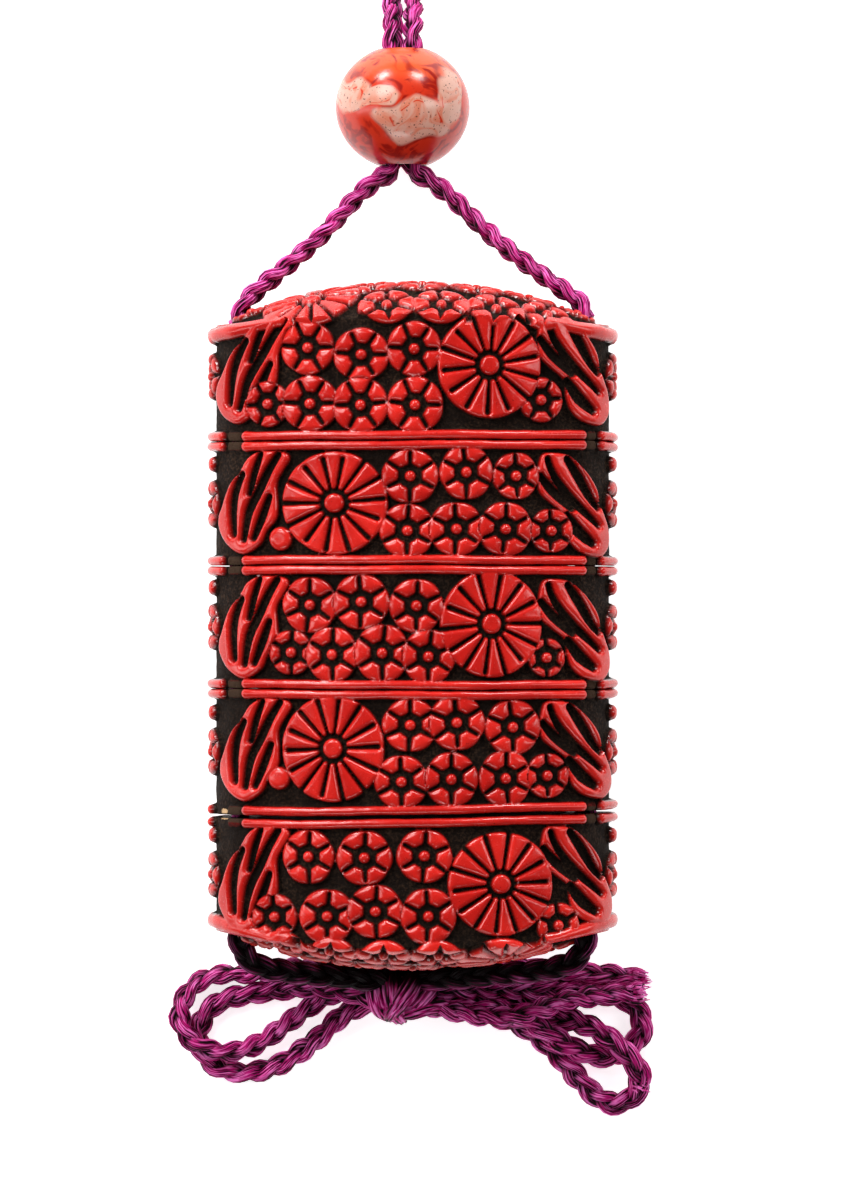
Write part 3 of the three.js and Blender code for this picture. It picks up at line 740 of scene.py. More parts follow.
class Field:
    # the carving over a set of points: distance to the nearest raised edge, and height
    def __init__(self, x, y):
        self.x, self.y = x, y
        self.d = np.full(x.shape, 9.0)
        self.h = np.zeros(x.shape)

    def near(self, cx, cy, reach):
        return (np.abs(self.x - cx) < reach) & (np.abs(self.y - cy) < reach)

    def put(self, mask, d, h, over=False):
        # later shapes join earlier ones, or hide them where over is true
        self.d[mask] = np.where(over, d, np.minimum(self.d[mask], d))
        self.h[mask] = np.where(over, h, np.maximum(self.h[mask], h))


def flower(field, cx, cy, radius, petals, draw, look):
    # petals round a boss, parted by grooves that stop short of the rim
    spots = field.near(cx, cy, radius + 1)
    tilt, warp = look["tilt"] + draw.uniform(-0.08, 0.08), draw.uniform(0, 6.28)
    squash = 1 + draw.uniform(-0.02, 0.02)
    ends = np.array([look["grooveTo"] * radius * (1 + draw.uniform(-0.06, 0.05)) for _ in range(petals)])
    if look.get("through"):
        for i in draw.sample(range(petals), look["through"]):
            ends[i] = radius + 1
    if not spots.any():
        return
    x, y = (field.x[spots] - cx) / squash, (field.y[spots] - cy) * squash
    r = np.hypot(x, y)
    theta = np.arctan2(y, x) - tilt
    theta = theta + look["warp"] * np.sin(theta + warp)
    sector = 2 * pi / petals
    which = np.floor(theta / sector + 0.5).astype(int) % petals
    local = theta - np.round(theta / sector) * sector  # nought at a groove, half a sector at a petal
    scallop = look["scallop"] * radius * (1 - np.abs(np.sin(local / sector * pi)) ** 0.6)
    rim = r - radius + scallop + 0.02 * np.sin(5 * theta + warp)
    u, v = r * np.cos(local), r * np.sin(local)
    (ringFrom, ringTo), (inner, outer) = look["ring"], look["groove"]
    along = np.clip(u, ringTo, ends[which])
    share = (along - ringTo) / (ends[which] - ringTo)
    groove = np.hypot(u - along, v) - (inner + (outer - inner) * share)
    ring = np.abs(r - (ringFrom + ringTo) / 2) - (ringTo - ringFrom) / 2
    d = roundMax(roundMax(-groove, -ring, look["nose"]), rim, 0.3)
    crown = 1 - look["dish"] * np.clip(r / radius, 0, 1) ** 2
    h = carve["height"] * swell(d, look["shoulder"]) * crown
    boss = r - ringFrom
    bossHeight = look["boss"] * carve["height"] * swell(boss, look["bossShoulder"], 0.3)
    h = np.where(boss < 0.1, bossHeight, h)
    h = np.where(rim < -0.2, np.maximum(h, carve["grooveFloor"]), h)
    field.put(spots, d, h, rim < -0.1)


plumLook = {  # groove: half its width at the middle and at its outer end
    "tilt": pi / 6, "warp": 0.07, "scallop": 0.05, "groove": (0.25, 0.19), "grooveTo": 0.84,
    "ring": (0.74, 1.46), "nose": 0.3, "boss": 1.0, "bossShoulder": 0.6, "dish": 0.1, "shoulder": 0.95,
}
bigLook = {
    "tilt": 0.1, "warp": 0.05, "scallop": 0.012, "groove": (0.13, 0.25), "grooveTo": 0.91,
    "ring": (1.3, 1.8), "nose": 0.3, "boss": 0.98, "bossShoulder": 0.55, "dish": 0.06, "shoulder": 0.6,
    "through": 3,
}


def ball(field, cx, cy, radius):
    spots = field.near(cx, cy, radius + 1)
    d = np.hypot(field.x[spots] - cx, field.y[spots] - cy) - radius
    field.put(spots, d, carve["height"] * swell(d, min(0.9, radius * 0.8), 0.35))


# leaves: an outline seen from the front and the slots cut through it, each with its half width
leftLeaf = {
    "middle": -0.3,
    "outline": [
        (-21.0, 5.4), (-19.6, 6.2), (-17.7, 6.3), (-16.0, 6.0), (-15.6, 5.2), (-16.35, 3.9),
        (-17.15, 2.2), (-17.0, -0.1), (-17.1, -2.2), (-18.3, -3.7), (-19.1, -5.4), (-21.3, -6.7),
        (-23.3, -5.7), (-24.5, -3.6), (-24.6, -2.0), (-24.2, -0.6), (-23.8, 0.8), (-23.1, 2.4),
        (-21.9, 3.9),
    ],
    "slots": [
        ([(-21.7, 3.3), (-22.5, 1.3), (-22.8, -1.1), (-22.6, -4.1)], 0.58),
        ([(-19.3, 5.9), (-20.05, 3.6), (-20.7, 0.9)], 0.44),
        ([(-17.1, 5.8), (-18.3, 3.8), (-19.35, 1.5), (-20.7, -1.3), (-21.3, -4.8)], 0.56),
        ([(-18.1, 0.5), (-18.9, -1.8), (-20.0, -4.7)], 0.5),
    ],
}
rightLeaf = {
    "middle": -15.55,
    "outline": [
        (16.7, -9.6), (18.1, -9.4), (19.8, -9.6), (21.1, -10.35), (22.6, -11.85), (23.7, -13.6),
        (24.1, -15.3), (24.6, -16.55), (25.2, -18.5), (25.2, -20.4), (24.4, -21.7), (23.2, -21.7),
        (21.5, -21.15), (20.25, -20.0), (19.7, -18.5), (19.5, -16.8), (17.9, -15.5), (16.4, -14.2),
        (16.1, -12.5), (16.2, -10.8),
    ],
    "slots": [
        ([(17.4, -10.2), (18.3, -12.3), (20.9, -15.3), (23.9, -18.0)], 0.55),
        ([(19.9, -10.2), (21.2, -12.0), (22.8, -14.6), (23.8, -15.8)], 0.66),
        ([(16.5, -12.2), (17.9, -13.8), (20.5, -16.0)], 0.62),
        ([(19.9, -16.9), (21.5, -18.8), (23.2, -20.1)], 0.76),
    ],
}


def leafMotif(field, leaf, place):
    # place: middle height, stretch, lean and shift sideways
    middle, stretch, lean, shift = place

    def seat(point):
        x, y = point
        y = (y - leaf["middle"]) * stretch
        return oval.runAt(x + shift + lean * y), middle + y

    outline = roundOutline([seat(p) for p in leaf["outline"]])
    cx = sum(p[0] for p in outline) / len(outline)
    spots = field.near(cx, middle, 9)
    if not spots.any():
        return
    x, y = field.x[spots], field.y[spots]
    d = outlineDistance(x, y, outline)
    for points, half in leaf["slots"]:
        soft, _ = smoothPath([(*seat(p), 0) for p in points], 1.2)
        count = len(soft) - 1
        middleX = sum(p[0] for p in points) / len(points) + shift
        spread = (oval.runAt(middleX + 0.5) - oval.runAt(middleX - 0.5)) ** 0.6
        for i in range(count):
            near, far = (spread * half * (0.7 + 0.3 * sin(pi * (i + k) / count)) for k in (0, 1))
            away, t = fromStretch(x, y, soft[i][:2], soft[i + 1][:2])
            d = np.maximum(d, near + (far - near) * t - away)
    field.put(spots, d, carve["height"] * swell(d, 0.55))


ridgeLook = {
    "front": (-21.8, 22.2),  # ends of the front ridge, seen from the front
    "side": (-24.0, 23.8),  # and where the ridges of the ends begin
    "inset": 0.57,  # middle of the ridge from the joint
    "half": 0.62,
    "bulb": 0.1,
    "height": 1.15,
    "foot": 0.3,  # share of the height that stands as a wall
    "block": 0.46,  # height of the worn blocks between them
    "blockHalf": 0.62,
    "chipped": 4.2,  # length lost from one ridge of the lowest joint
    "corner": 0.95,  # half width of the rims of the domed ends
    "cornerFrom": 16.0,  # where such a rim begins to slip under the flowers, and where it is clear of them
    "cornerTo": 25.2,
    "cornerRise": (0.9, 0.95),  # how far out it lies at the first, and how much less at the second
    "overEdge": ((-2.75, 3.6), (-5.2, 5.8)),  # inset and radius of the small flowers, then the large one
}


def ridgeEnds(name):
    return [oval.runAt(x) for x in ridgeLook[name]]


def ridgeGaps():
    # the stretches between the front ridge and those of the ends
    front, side = ridgeEnds("front"), ridgeEnds("side")
    return (side[0] + 0.1, front[0] - 0.1), (front[1] + 0.1, side[1] - 0.1)


def ridgeBar(field, fromRun, toRun, line, draw, half=None):
    half, bulb = half or ridgeLook["half"], ridgeLook["bulb"]
    phase = draw.uniform(0, 6.28)
    spots = (field.x > fromRun - 1) & (field.x < toRun + 1) & (np.abs(field.y - line(field.x)) < 1.6)
    if not spots.any():
        return
    x, y = field.x[spots], field.y[spots] - line(field.x[spots])
    swollen = half + bulb * (np.exp(-((x - fromRun) / 1.1) ** 2) + np.exp(-((x - toRun) / 1.1) ** 2))
    swollen = swollen * (1 + 0.04 * np.sin(x * 0.9 + phase) + 0.03 * np.sin(x * 2.3))
    away = np.hypot(x - np.clip(x, fromRun + swollen, toRun - swollen), y)
    d = away - swollen
    arch = np.sqrt(np.clip(1 - (np.minimum(away, swollen) / swollen) ** 2, 0, 1))
    foot = ridgeLook["foot"]
    outside = foot * np.clip(1 - d / carve["wall"], 0, 1)
    field.put(spots, d, ridgeLook["height"] * np.where(d < 0, foot + (1 - foot) * arch, outside))


def jointRidges(field, index, direction, draw):
    # the ridge beside one joint: front, back and both ends, with low blocks in the gaps between
    joint = jointLine(index, direction)

    def line(run):
        return joint(run) + direction * ridgeLook["inset"]

    front, side = ridgeEnds("front"), ridgeEnds("side")
    leftEnd = side[0] - (ridgeLook["chipped"] if index == lowestJoint else 0)
    ridgeBar(field, front[0], front[1], line, draw)
    ridgeBar(field, side[1], around - side[1], line, draw)
    ridgeBar(field, -around - side[0], leftEnd, line, draw)
    ridgeBar(field, around + front[0], around + 1, line, draw)
    ridgeBar(field, -around - 1, -around + front[1], line, draw)
    for low, high in ridgeGaps():
        spots = (field.x > low - 1) & (field.x < high + 1) & (np.abs(field.y - line(field.x)) < 1.6)
        x, y = field.x[spots], field.y[spots] - line(field.x[spots])
        fromEnds = np.abs(x - (low + high) / 2) - (high - low) / 2
        d = roundMax(fromEnds, np.abs(y) - ridgeLook["blockHalf"], 0.5)
        field.put(spots, d, ridgeLook["block"] * swell(d, 0.6))


def edgeLine(name, inset):
    # where the wall meets a domed end, set back by the inset
    dome = case[name]
    sign = 1 if dome["crown"] > 0 else -1

    def line(run):
        x, z = oval.bend(run, 0)
        slope = np.sqrt(1 - (x / dome["x"]) ** 2 - (z / dome["z"]) ** 2)
        return dome["crown"] - sign * (dome["y"] * (1 - slope) + inset)

    return line


def cornerRidges(field, name, draw):
    # a rounded rim along both ends of a dome, that slips under the flowers at the front
    edge = edgeLine(name, 0.25)
    start, end = oval.runAt(ridgeLook["cornerFrom"]), oval.runAt(ridgeLook["cornerTo"])
    outward = 1 if case[name]["crown"] > 0 else -1
    rise, loss = ridgeLook["cornerRise"]

    def line(run):
        t = np.clip((np.minimum(np.abs(run), around - np.abs(run)) - start) / (end - start), 0, 1)
        return edge(run) + outward * (rise - loss * t)

    ridgeBar(field, start, around - start, line, draw, ridgeLook["corner"])
    ridgeBar(field, start - around, -start, line, draw, ridgeLook["corner"])
    # the flowers of the dome turn a little over its front edge
    small, large = ridgeLook["overEdge"]
    turned = [(plum[0], *small) for plum in domes[name]["plums"][:4]]
    for x, inset, radius in [*turned, (domes[name]["big"][0], *large)]:
        run = oval.runAt(x)
        ball(field, run, float(edgeLine(name, inset)(run)), radius)


def jointLine(index, direction):
    # the edge of a case beside joint number index, a little wavy; direction is up or down from it
    gap = case["jointGaps"][index] / 2

    def line(run):
        turn = run * pi / around
        wave = 0.07 * np.sin(2 * turn + index * 1.9) + 0.04 * np.sin(7 * turn + index)
        if index == lowestJoint:
            wave = wave + case["lean"] * np.sin(turn)
        return case["joints"][index] + direction * gap + wave

    return line


tiers = [  # flowers: place seen from the front, then radius where it isn't the usual one
    {
        "name": "lid",
        "big": (9.75, 32.6),
        "plums": [(-13.3, 34.8), (-6.5, 33.9), (0.2, 34.6), (-18.4, 27.8, 2.95), (-13.0, 27.8),
                  (-6.6, 27.6), (0.3, 27.6), (16.3, 28.3, 2.9)],
        "left": (31.95, 1.04, 0.14, 0),
        "right": (32.15, 1.12, 0, -0.3),
        "backMiddle": 31.5,
        "tilt": 0,
    },
    {
        "name": "upper_case",
        "big": (-9.9, 15.35),
        "plums": [(-0.3, 18.7), (6.8, 19.2), (13.1, 18.75, 3.05), (-0.65, 11.9), (5.55, 12.1),
                  (11.8, 12.1), (17.6, 11.9, 2.9)],
        "balls": [(-16.7, 10.9, 1.55)],
        "left": (15.35, 1.0, 0.02, 0),
        "right": (15.2, 1.06, 0, -0.3),
        "backMiddle": 15.4,
    },
    {
        "name": "middle_case",
        "big": (10.0, 0.25),
        "plums": [(-13.0, 2.6), (-6.5, 3.0), (0.5, 2.5), (-15.4, -3.35, 2.9), (-10.2, -3.6), (-3.85, -3.4),
                  (2.0, -3.85), (17.0, -4.0, 2.5)],
        "left": (-0.3, 1.0, 0, 0),
        "right": (-0.5, 1.04, 0, -0.2),
        "backMiddle": -0.2,
    },
    {
        "name": "lower_case",
        "big": (-10.1, -15.35),
        "plums": [(-0.3, -12.4), (5.6, -12.1), (12.7, -12.7), (-1.4, -19.5), (4.9, -19.2), (11.8, -19.1),
                  (17.1, -18.8, 2.9)],
        "balls": [(-16.9, -19.1, 1.5)],
        "left": (-15.7, 1.0, 0.02, 0.2),
        "right": (-15.55, 1.0, 0, 0),
        "backMiddle": -16,
    },
    {
        "name": "base_case",
        "big": (11.2, -32.3),
        "plums": [(-13.2, -28.9), (-6.1, -29.0), (1.5, -28.75), (-17.5, -36.5, 3.0), (-10.8, -36.35),
                  (-4.7, -35.7), (2.0, -36.3), (18.5, -37.6, 2.9)],
        "left": (-31.95, 1.04, 0.02, 0),
        "right": (-31.3, 1.01, 0, 0.1),
        "backMiddle": -31.5,
    },
]


endsLook = {  # plainer flowers of the ends and the back: place, then radius
    "endFlower": (29.3, 3.0),
    "endBall": (28.6, 5.0, 1.0),
    "backSmall": ((8.9, 3.3), (8.9, -3.4), (15.4, 3.2), (15.4, -3.5)),
    "backSmallRadius": 3.1,
    "backBig": (5.9, 12),
}


def carveWall(run, y, index):
    # the carving of one case at points of its flattened wall
    tier = tiers[index]
    draw = random.Random(400 + index)
    field = Field(run, y)
    plum = dict(plumLook, tilt=tier.get("tilt", plumLook["tilt"]))
    bigX, bigY = tier["big"]
    leafMotif(field, leftLeaf, tier["left"])
    leafMotif(field, rightLeaf, tier["right"])
    for x, plumY, *radius in tier["plums"]:
        radius = radius[0] if radius else carve["plumRadius"] * draw.uniform(0.97, 1.03)
        flower(field, oval.runAt(x), plumY, radius, carve["plumPetals"], draw, plum)
    flower(field, oval.runAt(bigX), bigY, carve["bigRadius"], carve["bigPetals"], draw, bigLook)
    for x, ballY, radius in tier.get("balls", []):
        ball(field, oval.runAt(x), ballY, radius)
    middle = tier["backMiddle"]
    endRun, endRadius = endsLook["endFlower"]
    ballRun, ballRise, ballRadius = endsLook["endBall"]
    petals = carve["plumPetals"]
    for side in (-1, 1):
        flower(field, side * endRun, middle, endRadius, petals, draw, plum)
        ball(field, side * ballRun, middle + ballRise, ballRadius)
        for away, rise in endsLook["backSmall"]:
            flower(field, side * (around - away), middle + rise, endsLook["backSmallRadius"], petals, draw,
                   plum)
    for wrapped in (-around, around):
        flower(field, wrapped, middle, *endsLook["backBig"], random.Random(index), bigLook)
    if index in domeOf:
        cornerRidges(field, domeOf[index], draw)
    if index > 0:
        jointRidges(field, index - 1, -1, draw)
    if index <= lowestJoint:
        jointRidges(field, index, 1, draw)
    return field


unevenness = {"waves": 14, "lengths": (0.7, 3.6), "ground": 0.05, "relief": 0.022, "reliefFrom": 0.3}


def roughHeight(field, x, y, seed):
    # the carving's height, made a little uneven, the ground more than the lacquer
    draw = random.Random(seed)
    total = np.zeros(x.shape)
    for _ in range(unevenness["waves"]):
        angle, wave = draw.uniform(0, pi), draw.uniform(*unevenness["lengths"])
        total += wave * np.sin((x * cos(angle) + y * sin(angle)) * 2 * pi / wave + draw.uniform(0, 6.28))
    depth = np.where(field.h < unevenness["reliefFrom"], unevenness["ground"], unevenness["relief"])
    return field.h + total / unevenness["waves"] * depth


def snapToEdges(x, y, shape, field, cell):
    # slides the grid's points onto the motifs' edges, so that the walls run smooth
    d = field.d.reshape(shape)
    xs, ys = x.reshape(shape), y.reshape(shape)
    dy = np.gradient(d, axis=0) / np.maximum(np.gradient(ys, axis=0), 1e-6)
    dx = np.gradient(d, axis=1) / np.maximum(np.gradient(xs, axis=1), 1e-6)
    length = np.maximum(np.hypot(dx, dy), 0.5)
    move = np.where(np.abs(d) < cell * 0.55, -d, 0) / length
    dx, dy = move * dx / length, move * dy / length
    for edge in (dx, dy):
        edge[:, 0] = edge[:, -1] = 0
        edge[0] = edge[-1] = 0
    limit = cell * 0.46
    return x + np.clip(dx, -limit, limit).ravel(), y + np.clip(dy, -limit, limit).ravel()


meshCell = {  # size of the carving's quads, and how far round the fine ones reach
    "front": 0.15,
    "back": 0.3,
    "rows": 0.15,
    "dome": 0.22,
    "fineRun": 28,
}


def wallColumns():
    edge = meshCell["fineRun"]
    front = np.linspace(-edge, edge, round(2 * edge / meshCell["front"]) + 1)
    count = round((around - edge) / meshCell["back"])
    left = np.linspace(-around, -edge, count + 1)[:-1]
    return np.concatenate([left, front, -left[::-1]])


def sheetThrough(points, shape):
    # a sheet of quads through points given row by row
    rows, columns = shape
    bm = bmesh.new()
    bmesh.ops.create_grid(bm, x_segments=columns - 1, y_segments=rows - 1, size=1)
    sheet = bpy.data.meshes.new("sheet")
    bm.to_mesh(sheet)
    bm.clear()
    flat = np.zeros(len(sheet.vertices) * 3)
    sheet.vertices.foreach_get("co", flat)
    column, row, _ = ((flat.reshape(-1, 3) + 1) / 2).T
    column, row = np.rint(column * (columns - 1)).astype(int), np.rint(row * (rows - 1)).astype(int)
    sheet.vertices.foreach_set("co", points[row * columns + column].ravel())
    bm.from_mesh(sheet)
    bpy.data.meshes.remove(sheet)
    return bm


def makeWall(index):
    # the outer wall of one case as a closed block, with its carving standing out of it
    columns = wallColumns()
    # a domed end reaches past its crown, and the dome cuts it off
    top = np.full(len(columns), case["topDome"]["crown"] + 3.0)
    bottom = np.full(len(columns), case["bottomDome"]["crown"] - 3.0)
    if index > 0:
        top = jointLine(index - 1, -1)(columns)
    if index <= lowestJoint:
        bottom = jointLine(index, 1)(columns)
    rows = round((top[0] - bottom[0]) / meshCell["rows"]) + 1
    shape = (rows, len(columns))
    share = np.linspace(0, 1, rows)[:, None]
    run = np.broadcast_to(columns, shape).ravel()
    y = (bottom + (top - bottom) * share).ravel()
    run, y = snapToEdges(run, y, shape, carveWall(run, y, index), meshCell["front"])
    field = carveWall(run, y, index)
    height = roughHeight(field, run, y, index).reshape(shape)
    height[:, -1] = height[:, 0]
    x, z = oval.bend(run, height.ravel())
    bm = sheetThrough(np.stack([x, y, z + case["axisHeight"]], axis=1), shape)
    bmesh.ops.remove_doubles(bm, verts=[v for v in bm.verts if v.is_boundary], dist=0.001)
    return closedBlock(tiers[index]["name"], bm)


domes = {  # the four flowers at its front edge come first
    "topDome": {
        "big": (-12.6, 6.3, 6.1),
        "plums": [(-3.2, 10.5, 3.7), (3.6, 10.4, 3.7), (10.4, 9.8, 3.7), (16.8, 7.8, 3.3), (-5.2, 3.0),
                  (1.2, 2.6), (8.0, 2.2), (14.6, 0.6), (20.6, 1.4, 2.4), (-2.4, -3.9), (4.4, -4.1),
                  (11.2, -4.5), (-9.0, -3.8), (-16.0, -3.0), (-20.2, 1.6, 2.4), (-6.0, -9.4, 2.9),
                  (0.8, -9.6, 2.9), (7.6, -9.4, 2.9)],
    },
    "bottomDome": {
        "big": (11.4, 6.3, 6.1),
        "plums": [(-16.8, 7.8, 3.3), (-10.3, 9.8, 3.7), (-3.6, 10.4, 3.7), (3.2, 10.4, 3.7), (-13.6, -0.2),
                  (-6.8, 2.2), (0.0, 2.6), (-9.8, -5.0), (-2.8, -4.2), (4.0, -4.0), (10.8, -4.0),
                  (17.4, -1.2), (-19.9, 0.6, 2.4), (-6.0, -9.4, 2.9), (0.8, -9.6, 2.9), (7.6, -9.4, 2.9)],
    },
}


domeLook = {
    "halfWidth": 28,  # what is carved, before the wall cuts it to its oval
    "halfDepth": 15.4,
    "plumRadius": 3.5,
    "bigPetals": 13,
    "rim": 1.1,  # how far the rounded rim of both ends reaches in
    "rimFrom": 16.5,
}


def domeHeight(dome, x, y, z):
    # height of a point above the dome's own surface
    away = dome["y"] * (1 if dome["crown"] > 0 else -1)
    middle = dome["crown"] - away
    size = np.sqrt((x / dome["x"]) ** 2 + ((y - middle) / dome["y"]) ** 2 + (z / dome["z"]) ** 2)
    slope = np.sqrt(x ** 2 / dome["x"] ** 4 + (y - middle) ** 2 / dome["y"] ** 4 + z ** 2 / dome["z"] ** 4)
    return (size - 1) * size / np.maximum(slope, 1e-6)


def carveDome(gridX, gridZ, name, seed):
    draw = random.Random(seed)
    field = Field(gridX, gridZ)
    for x, z, *radius in domes[name]["plums"]:
        radius = radius[0] if radius else domeLook["plumRadius"]
        flower(field, x, z, radius, carve["plumPetals"], draw, plumLook)
    flower(field, *domes[name]["big"], domeLook["bigPetals"], draw, bigLook)
    return field


def makeDome(name, foot):
    # a block whose upper (or lower) face is the carved dome
    dome = case[name]
    sign = 1 if dome["crown"] > 0 else -1
    cell, width, depth = meshCell["dome"], domeLook["halfWidth"], domeLook["halfDepth"]
    xs = np.arange(-width, width + cell / 2, cell)
    zs = np.arange(-depth, depth + cell / 2, cell)
    shape = (len(zs), len(xs))
    x = np.broadcast_to(xs, shape).ravel()
    z = np.broadcast_to(zs[:, None], shape).ravel()
    x, z = snapToEdges(x, z, shape, carveDome(x, z, name, 90 + sign), cell)
    field = carveDome(x, z, name, 90 + sign)
    height = roughHeight(field, x, z, 7 + sign)
    _, inward = oval.unbend(x, z)
    rim = np.sqrt(1 - np.clip(-inward / domeLook["rim"], 0, 1) ** 2) * (np.abs(x) > domeLook["rimFrom"])
    height = np.maximum(height, rim)
    slope = np.sqrt(np.clip(1 - (x / dome["x"]) ** 2 - (z / dome["z"]) ** 2, 0.05, 1))
    y = dome["crown"] - sign * dome["y"] * (1 - slope)
    normal = np.stack([x / dome["x"] ** 2, sign * slope / dome["y"], z / dome["z"] ** 2], axis=1)
    normal /= np.linalg.norm(normal, axis=1)[:, None]
    points = np.stack([x, y, z + case["axisHeight"]], axis=1) + normal * height[:, None]
    bm = sheetThrough(points, shape)
    skirt = bmesh.ops.extrude_edge_only(bm, edges=[e for e in bm.edges if e.is_boundary])
    for v in skirt["geom"]:
        if isinstance(v, bmesh.types.BMVert):
            v.co.y = foot
    return closedBlock(name, bm)


def closedBlock(name, bm):
    bmesh.ops.holes_fill(bm, edges=[e for e in bm.edges if e.is_boundary], sides=0)
    return scratchObject(name, bm)


def scratchObject(name, bm):
    # a block or a tool, only used to shape a case
    thing = bpy.data.objects.new(name, meshFrom(bm, name))
    bpy.context.scene.collection.objects.link(thing)
    return thing


def ovalBlock(bm, sizes, fromY, toY):
    section = Oval(*sizes)
    ring = bmesh.ops.create_circle(bm, cap_ends=True, segments=120, radius=1)["verts"]
    for v in ring:
        x, z = section.bend(4 * section.quarter * atan2(v.co.x, v.co.y) / (2 * pi), 0)
        v.co = (float(x), fromY, float(z) + case["axisHeight"])
    raiseFace(bm, ring, toY - fromY)


def raiseFace(bm, ring, rise):
    face = ring[0].link_faces[0]
    upper = bmesh.ops.extrude_face_region(bm, geom=[face], use_keep_orig=True)
    moved = [v for v in upper["geom"] if isinstance(v, bmesh.types.BMVert)]
    bmesh.ops.translate(bm, verts=moved, vec=(0, rise, 0))


def boreBlock(bm, side, halfLength=60):
    ring = bmesh.ops.create_circle(bm, cap_ends=True, segments=40, radius=case["boreRadius"])["verts"]
    for v in ring:
        v.co = (v.co.x + side * case["boreX"], -halfLength, v.co.y + case["axisHeight"])
    raiseFace(bm, ring, 2 * halfLength)


def grown(sizes, amounts):
    return tuple(size + amount for size, amount in zip(sizes, amounts))


def cutWith(target, tool, operation):
    modifier = target.modifiers.new(operation.lower(), "BOOLEAN")
    modifier.operation = operation
    modifier.solver = "MANIFOLD"
    modifier.object = tool


def settle(target, tools):
    # makes the cuts part of the mesh and clears the tools away
    depsgraph = bpy.context.evaluated_depsgraph_get()
    mesh = bpy.data.meshes.new_from_object(target.evaluated_get(depsgraph))
    for thing in [target, *tools]:
        bpy.data.objects.remove(thing)
    return mesh


wear = {
    "bare": 0.75,  # the lacquer between the ridges is this worn
    "bareReach": 1.7,
    "bareFade": 0.8,
    "chipPlace": (-1.2, 0.4),  # middle of the chips from the left ridges' end and from the lowest joint
    "chipSize": (1.5, 0.6),
    "chipDepth": -2.5,
}


def markSurface(mesh, index):
    # writes on every point its height above the ground, and where the lacquer is bare or broken
    flat = np.zeros(len(mesh.vertices) * 3)
    mesh.vertices.foreach_get("co", flat)
    x, y, z = flat.reshape(-1, 3).T
    z = z - case["axisHeight"]
    run, height = oval.unbend(x, z)
    if index in domeOf:
        height = np.maximum(height, domeHeight(case[domeOf[index]], x, y, z))
    height = np.where(z < 0.02 - case["axisHeight"], 0.8, height)
    inGap = np.any([(run > low) & (run < high) for low, high in ridgeGaps()], axis=0)
    fromJoint = np.min([np.abs(y - joint) for joint in case["joints"]], axis=0)
    share = np.clip((wear["bareReach"] - fromJoint) / wear["bareFade"], 0, 1)
    bare = np.where(inGap, wear["bare"] * share, 0)
    (chipRun, chipRise), (chipLong, chipTall) = wear["chipPlace"], wear["chipSize"]
    fromRun = (run - ridgeEnds("side")[0] - chipRun) / chipLong
    fromRise = (np.abs(y - case["joints"][lowestJoint]) - chipRise) / chipTall
    wood = np.where(height > wear["chipDepth"], np.exp(-fromRun ** 2 - fromRise ** 2), 0)
    storeAttribute(mesh, "relief", height)
    storeAttribute(mesh, "bare", bare)
    storeAttribute(mesh, "wood", wood)


def partFinishes(mesh, dull):
    # low faces take the dull finish, which is the mesh's second material
    height = np.zeros(len(mesh.vertices))
    mesh.attributes["relief"].data.foreach_get("value", height)
    low = [int(sum(height[v] for v in face.vertices) / len(face.vertices) < lacquerLook["parting"])
           for face in mesh.polygons]
    mesh.materials.append(dull)
    mesh.polygons.foreach_set("material_index", low)


def makeTier(index, polished, dull):
    name = tiers[index]["name"]
    isLid, isBase = index == 0, index > lowestJoint
    top = case["topDome"]["crown"] + 2 if isLid else case["joints"][index - 1] - case["fitGap"] / 2
    bottom = case["bottomDome"]["crown"] - 2 if isBase else case["joints"][index] + case["fitGap"] / 2
    wall = makeWall(index)
    tools = []

    def shape(tool, operation):
        cutWith(wall, tool, operation)
        tools.append(tool)

    if index in domeOf:
        shape(makeDome(domeOf[index], case["domeFoot"] * (1 if isLid else -1)), "INTERSECT")
    rim = grown(case["cavity"], case["rimGrow"])
    if not isLid:
        bm = bmesh.new()
        ovalBlock(bm, rim, top - 1, top + case["rimHeight"])
        shape(scratchObject("rim", bm), "UNION")
    bm = bmesh.new()
    socketTop = bottom + case["rimHeight"] + case["fitGap"]
    if not isBase:
        ovalBlock(bm, grown(rim, [case["fitGap"]] * 3), bottom - 1, socketTop)
    for side in (-1, 1):
        boreBlock(bm, side)
    underFloor = bmesh.ops.create_cube(bm, size=1)["verts"]  # keeps the carving out of the floor
    bmesh.ops.scale(bm, verts=underFloor, vec=case["underFloor"])
    bmesh.ops.translate(bm, verts=underFloor, vec=(0, 0, -case["underFloor"][2] / 2))
    shape(scratchObject("socketAndBores", bm), "DIFFERENCE")
    bm = bmesh.new()
    if isLid:
        ovalBlock(bm, case["cavity"], bottom, case["lidCeiling"])
    else:
        inside = case["baseFloor"] if isBase else socketTop + case["floorThickness"]
        ovalBlock(bm, case["cavity"], inside, top + case["rimHeight"] + 1)
    shape(scratchObject("hollow", bm), "DIFFERENCE")
    mesh = settle(wall, tools)
    markSurface(mesh, index)
    mesh.shade_smooth()
    mesh.set_sharp_from_angle(angle=radians(62))
    mesh.transform(Matrix.Scale(mm, 4))
    addPiece("carved_" + name, mesh, polished, [name])
    partFinishes(mesh, dull)
    print("made", name, "with", len(mesh.polygons), "faces")


# bead, cords and knot

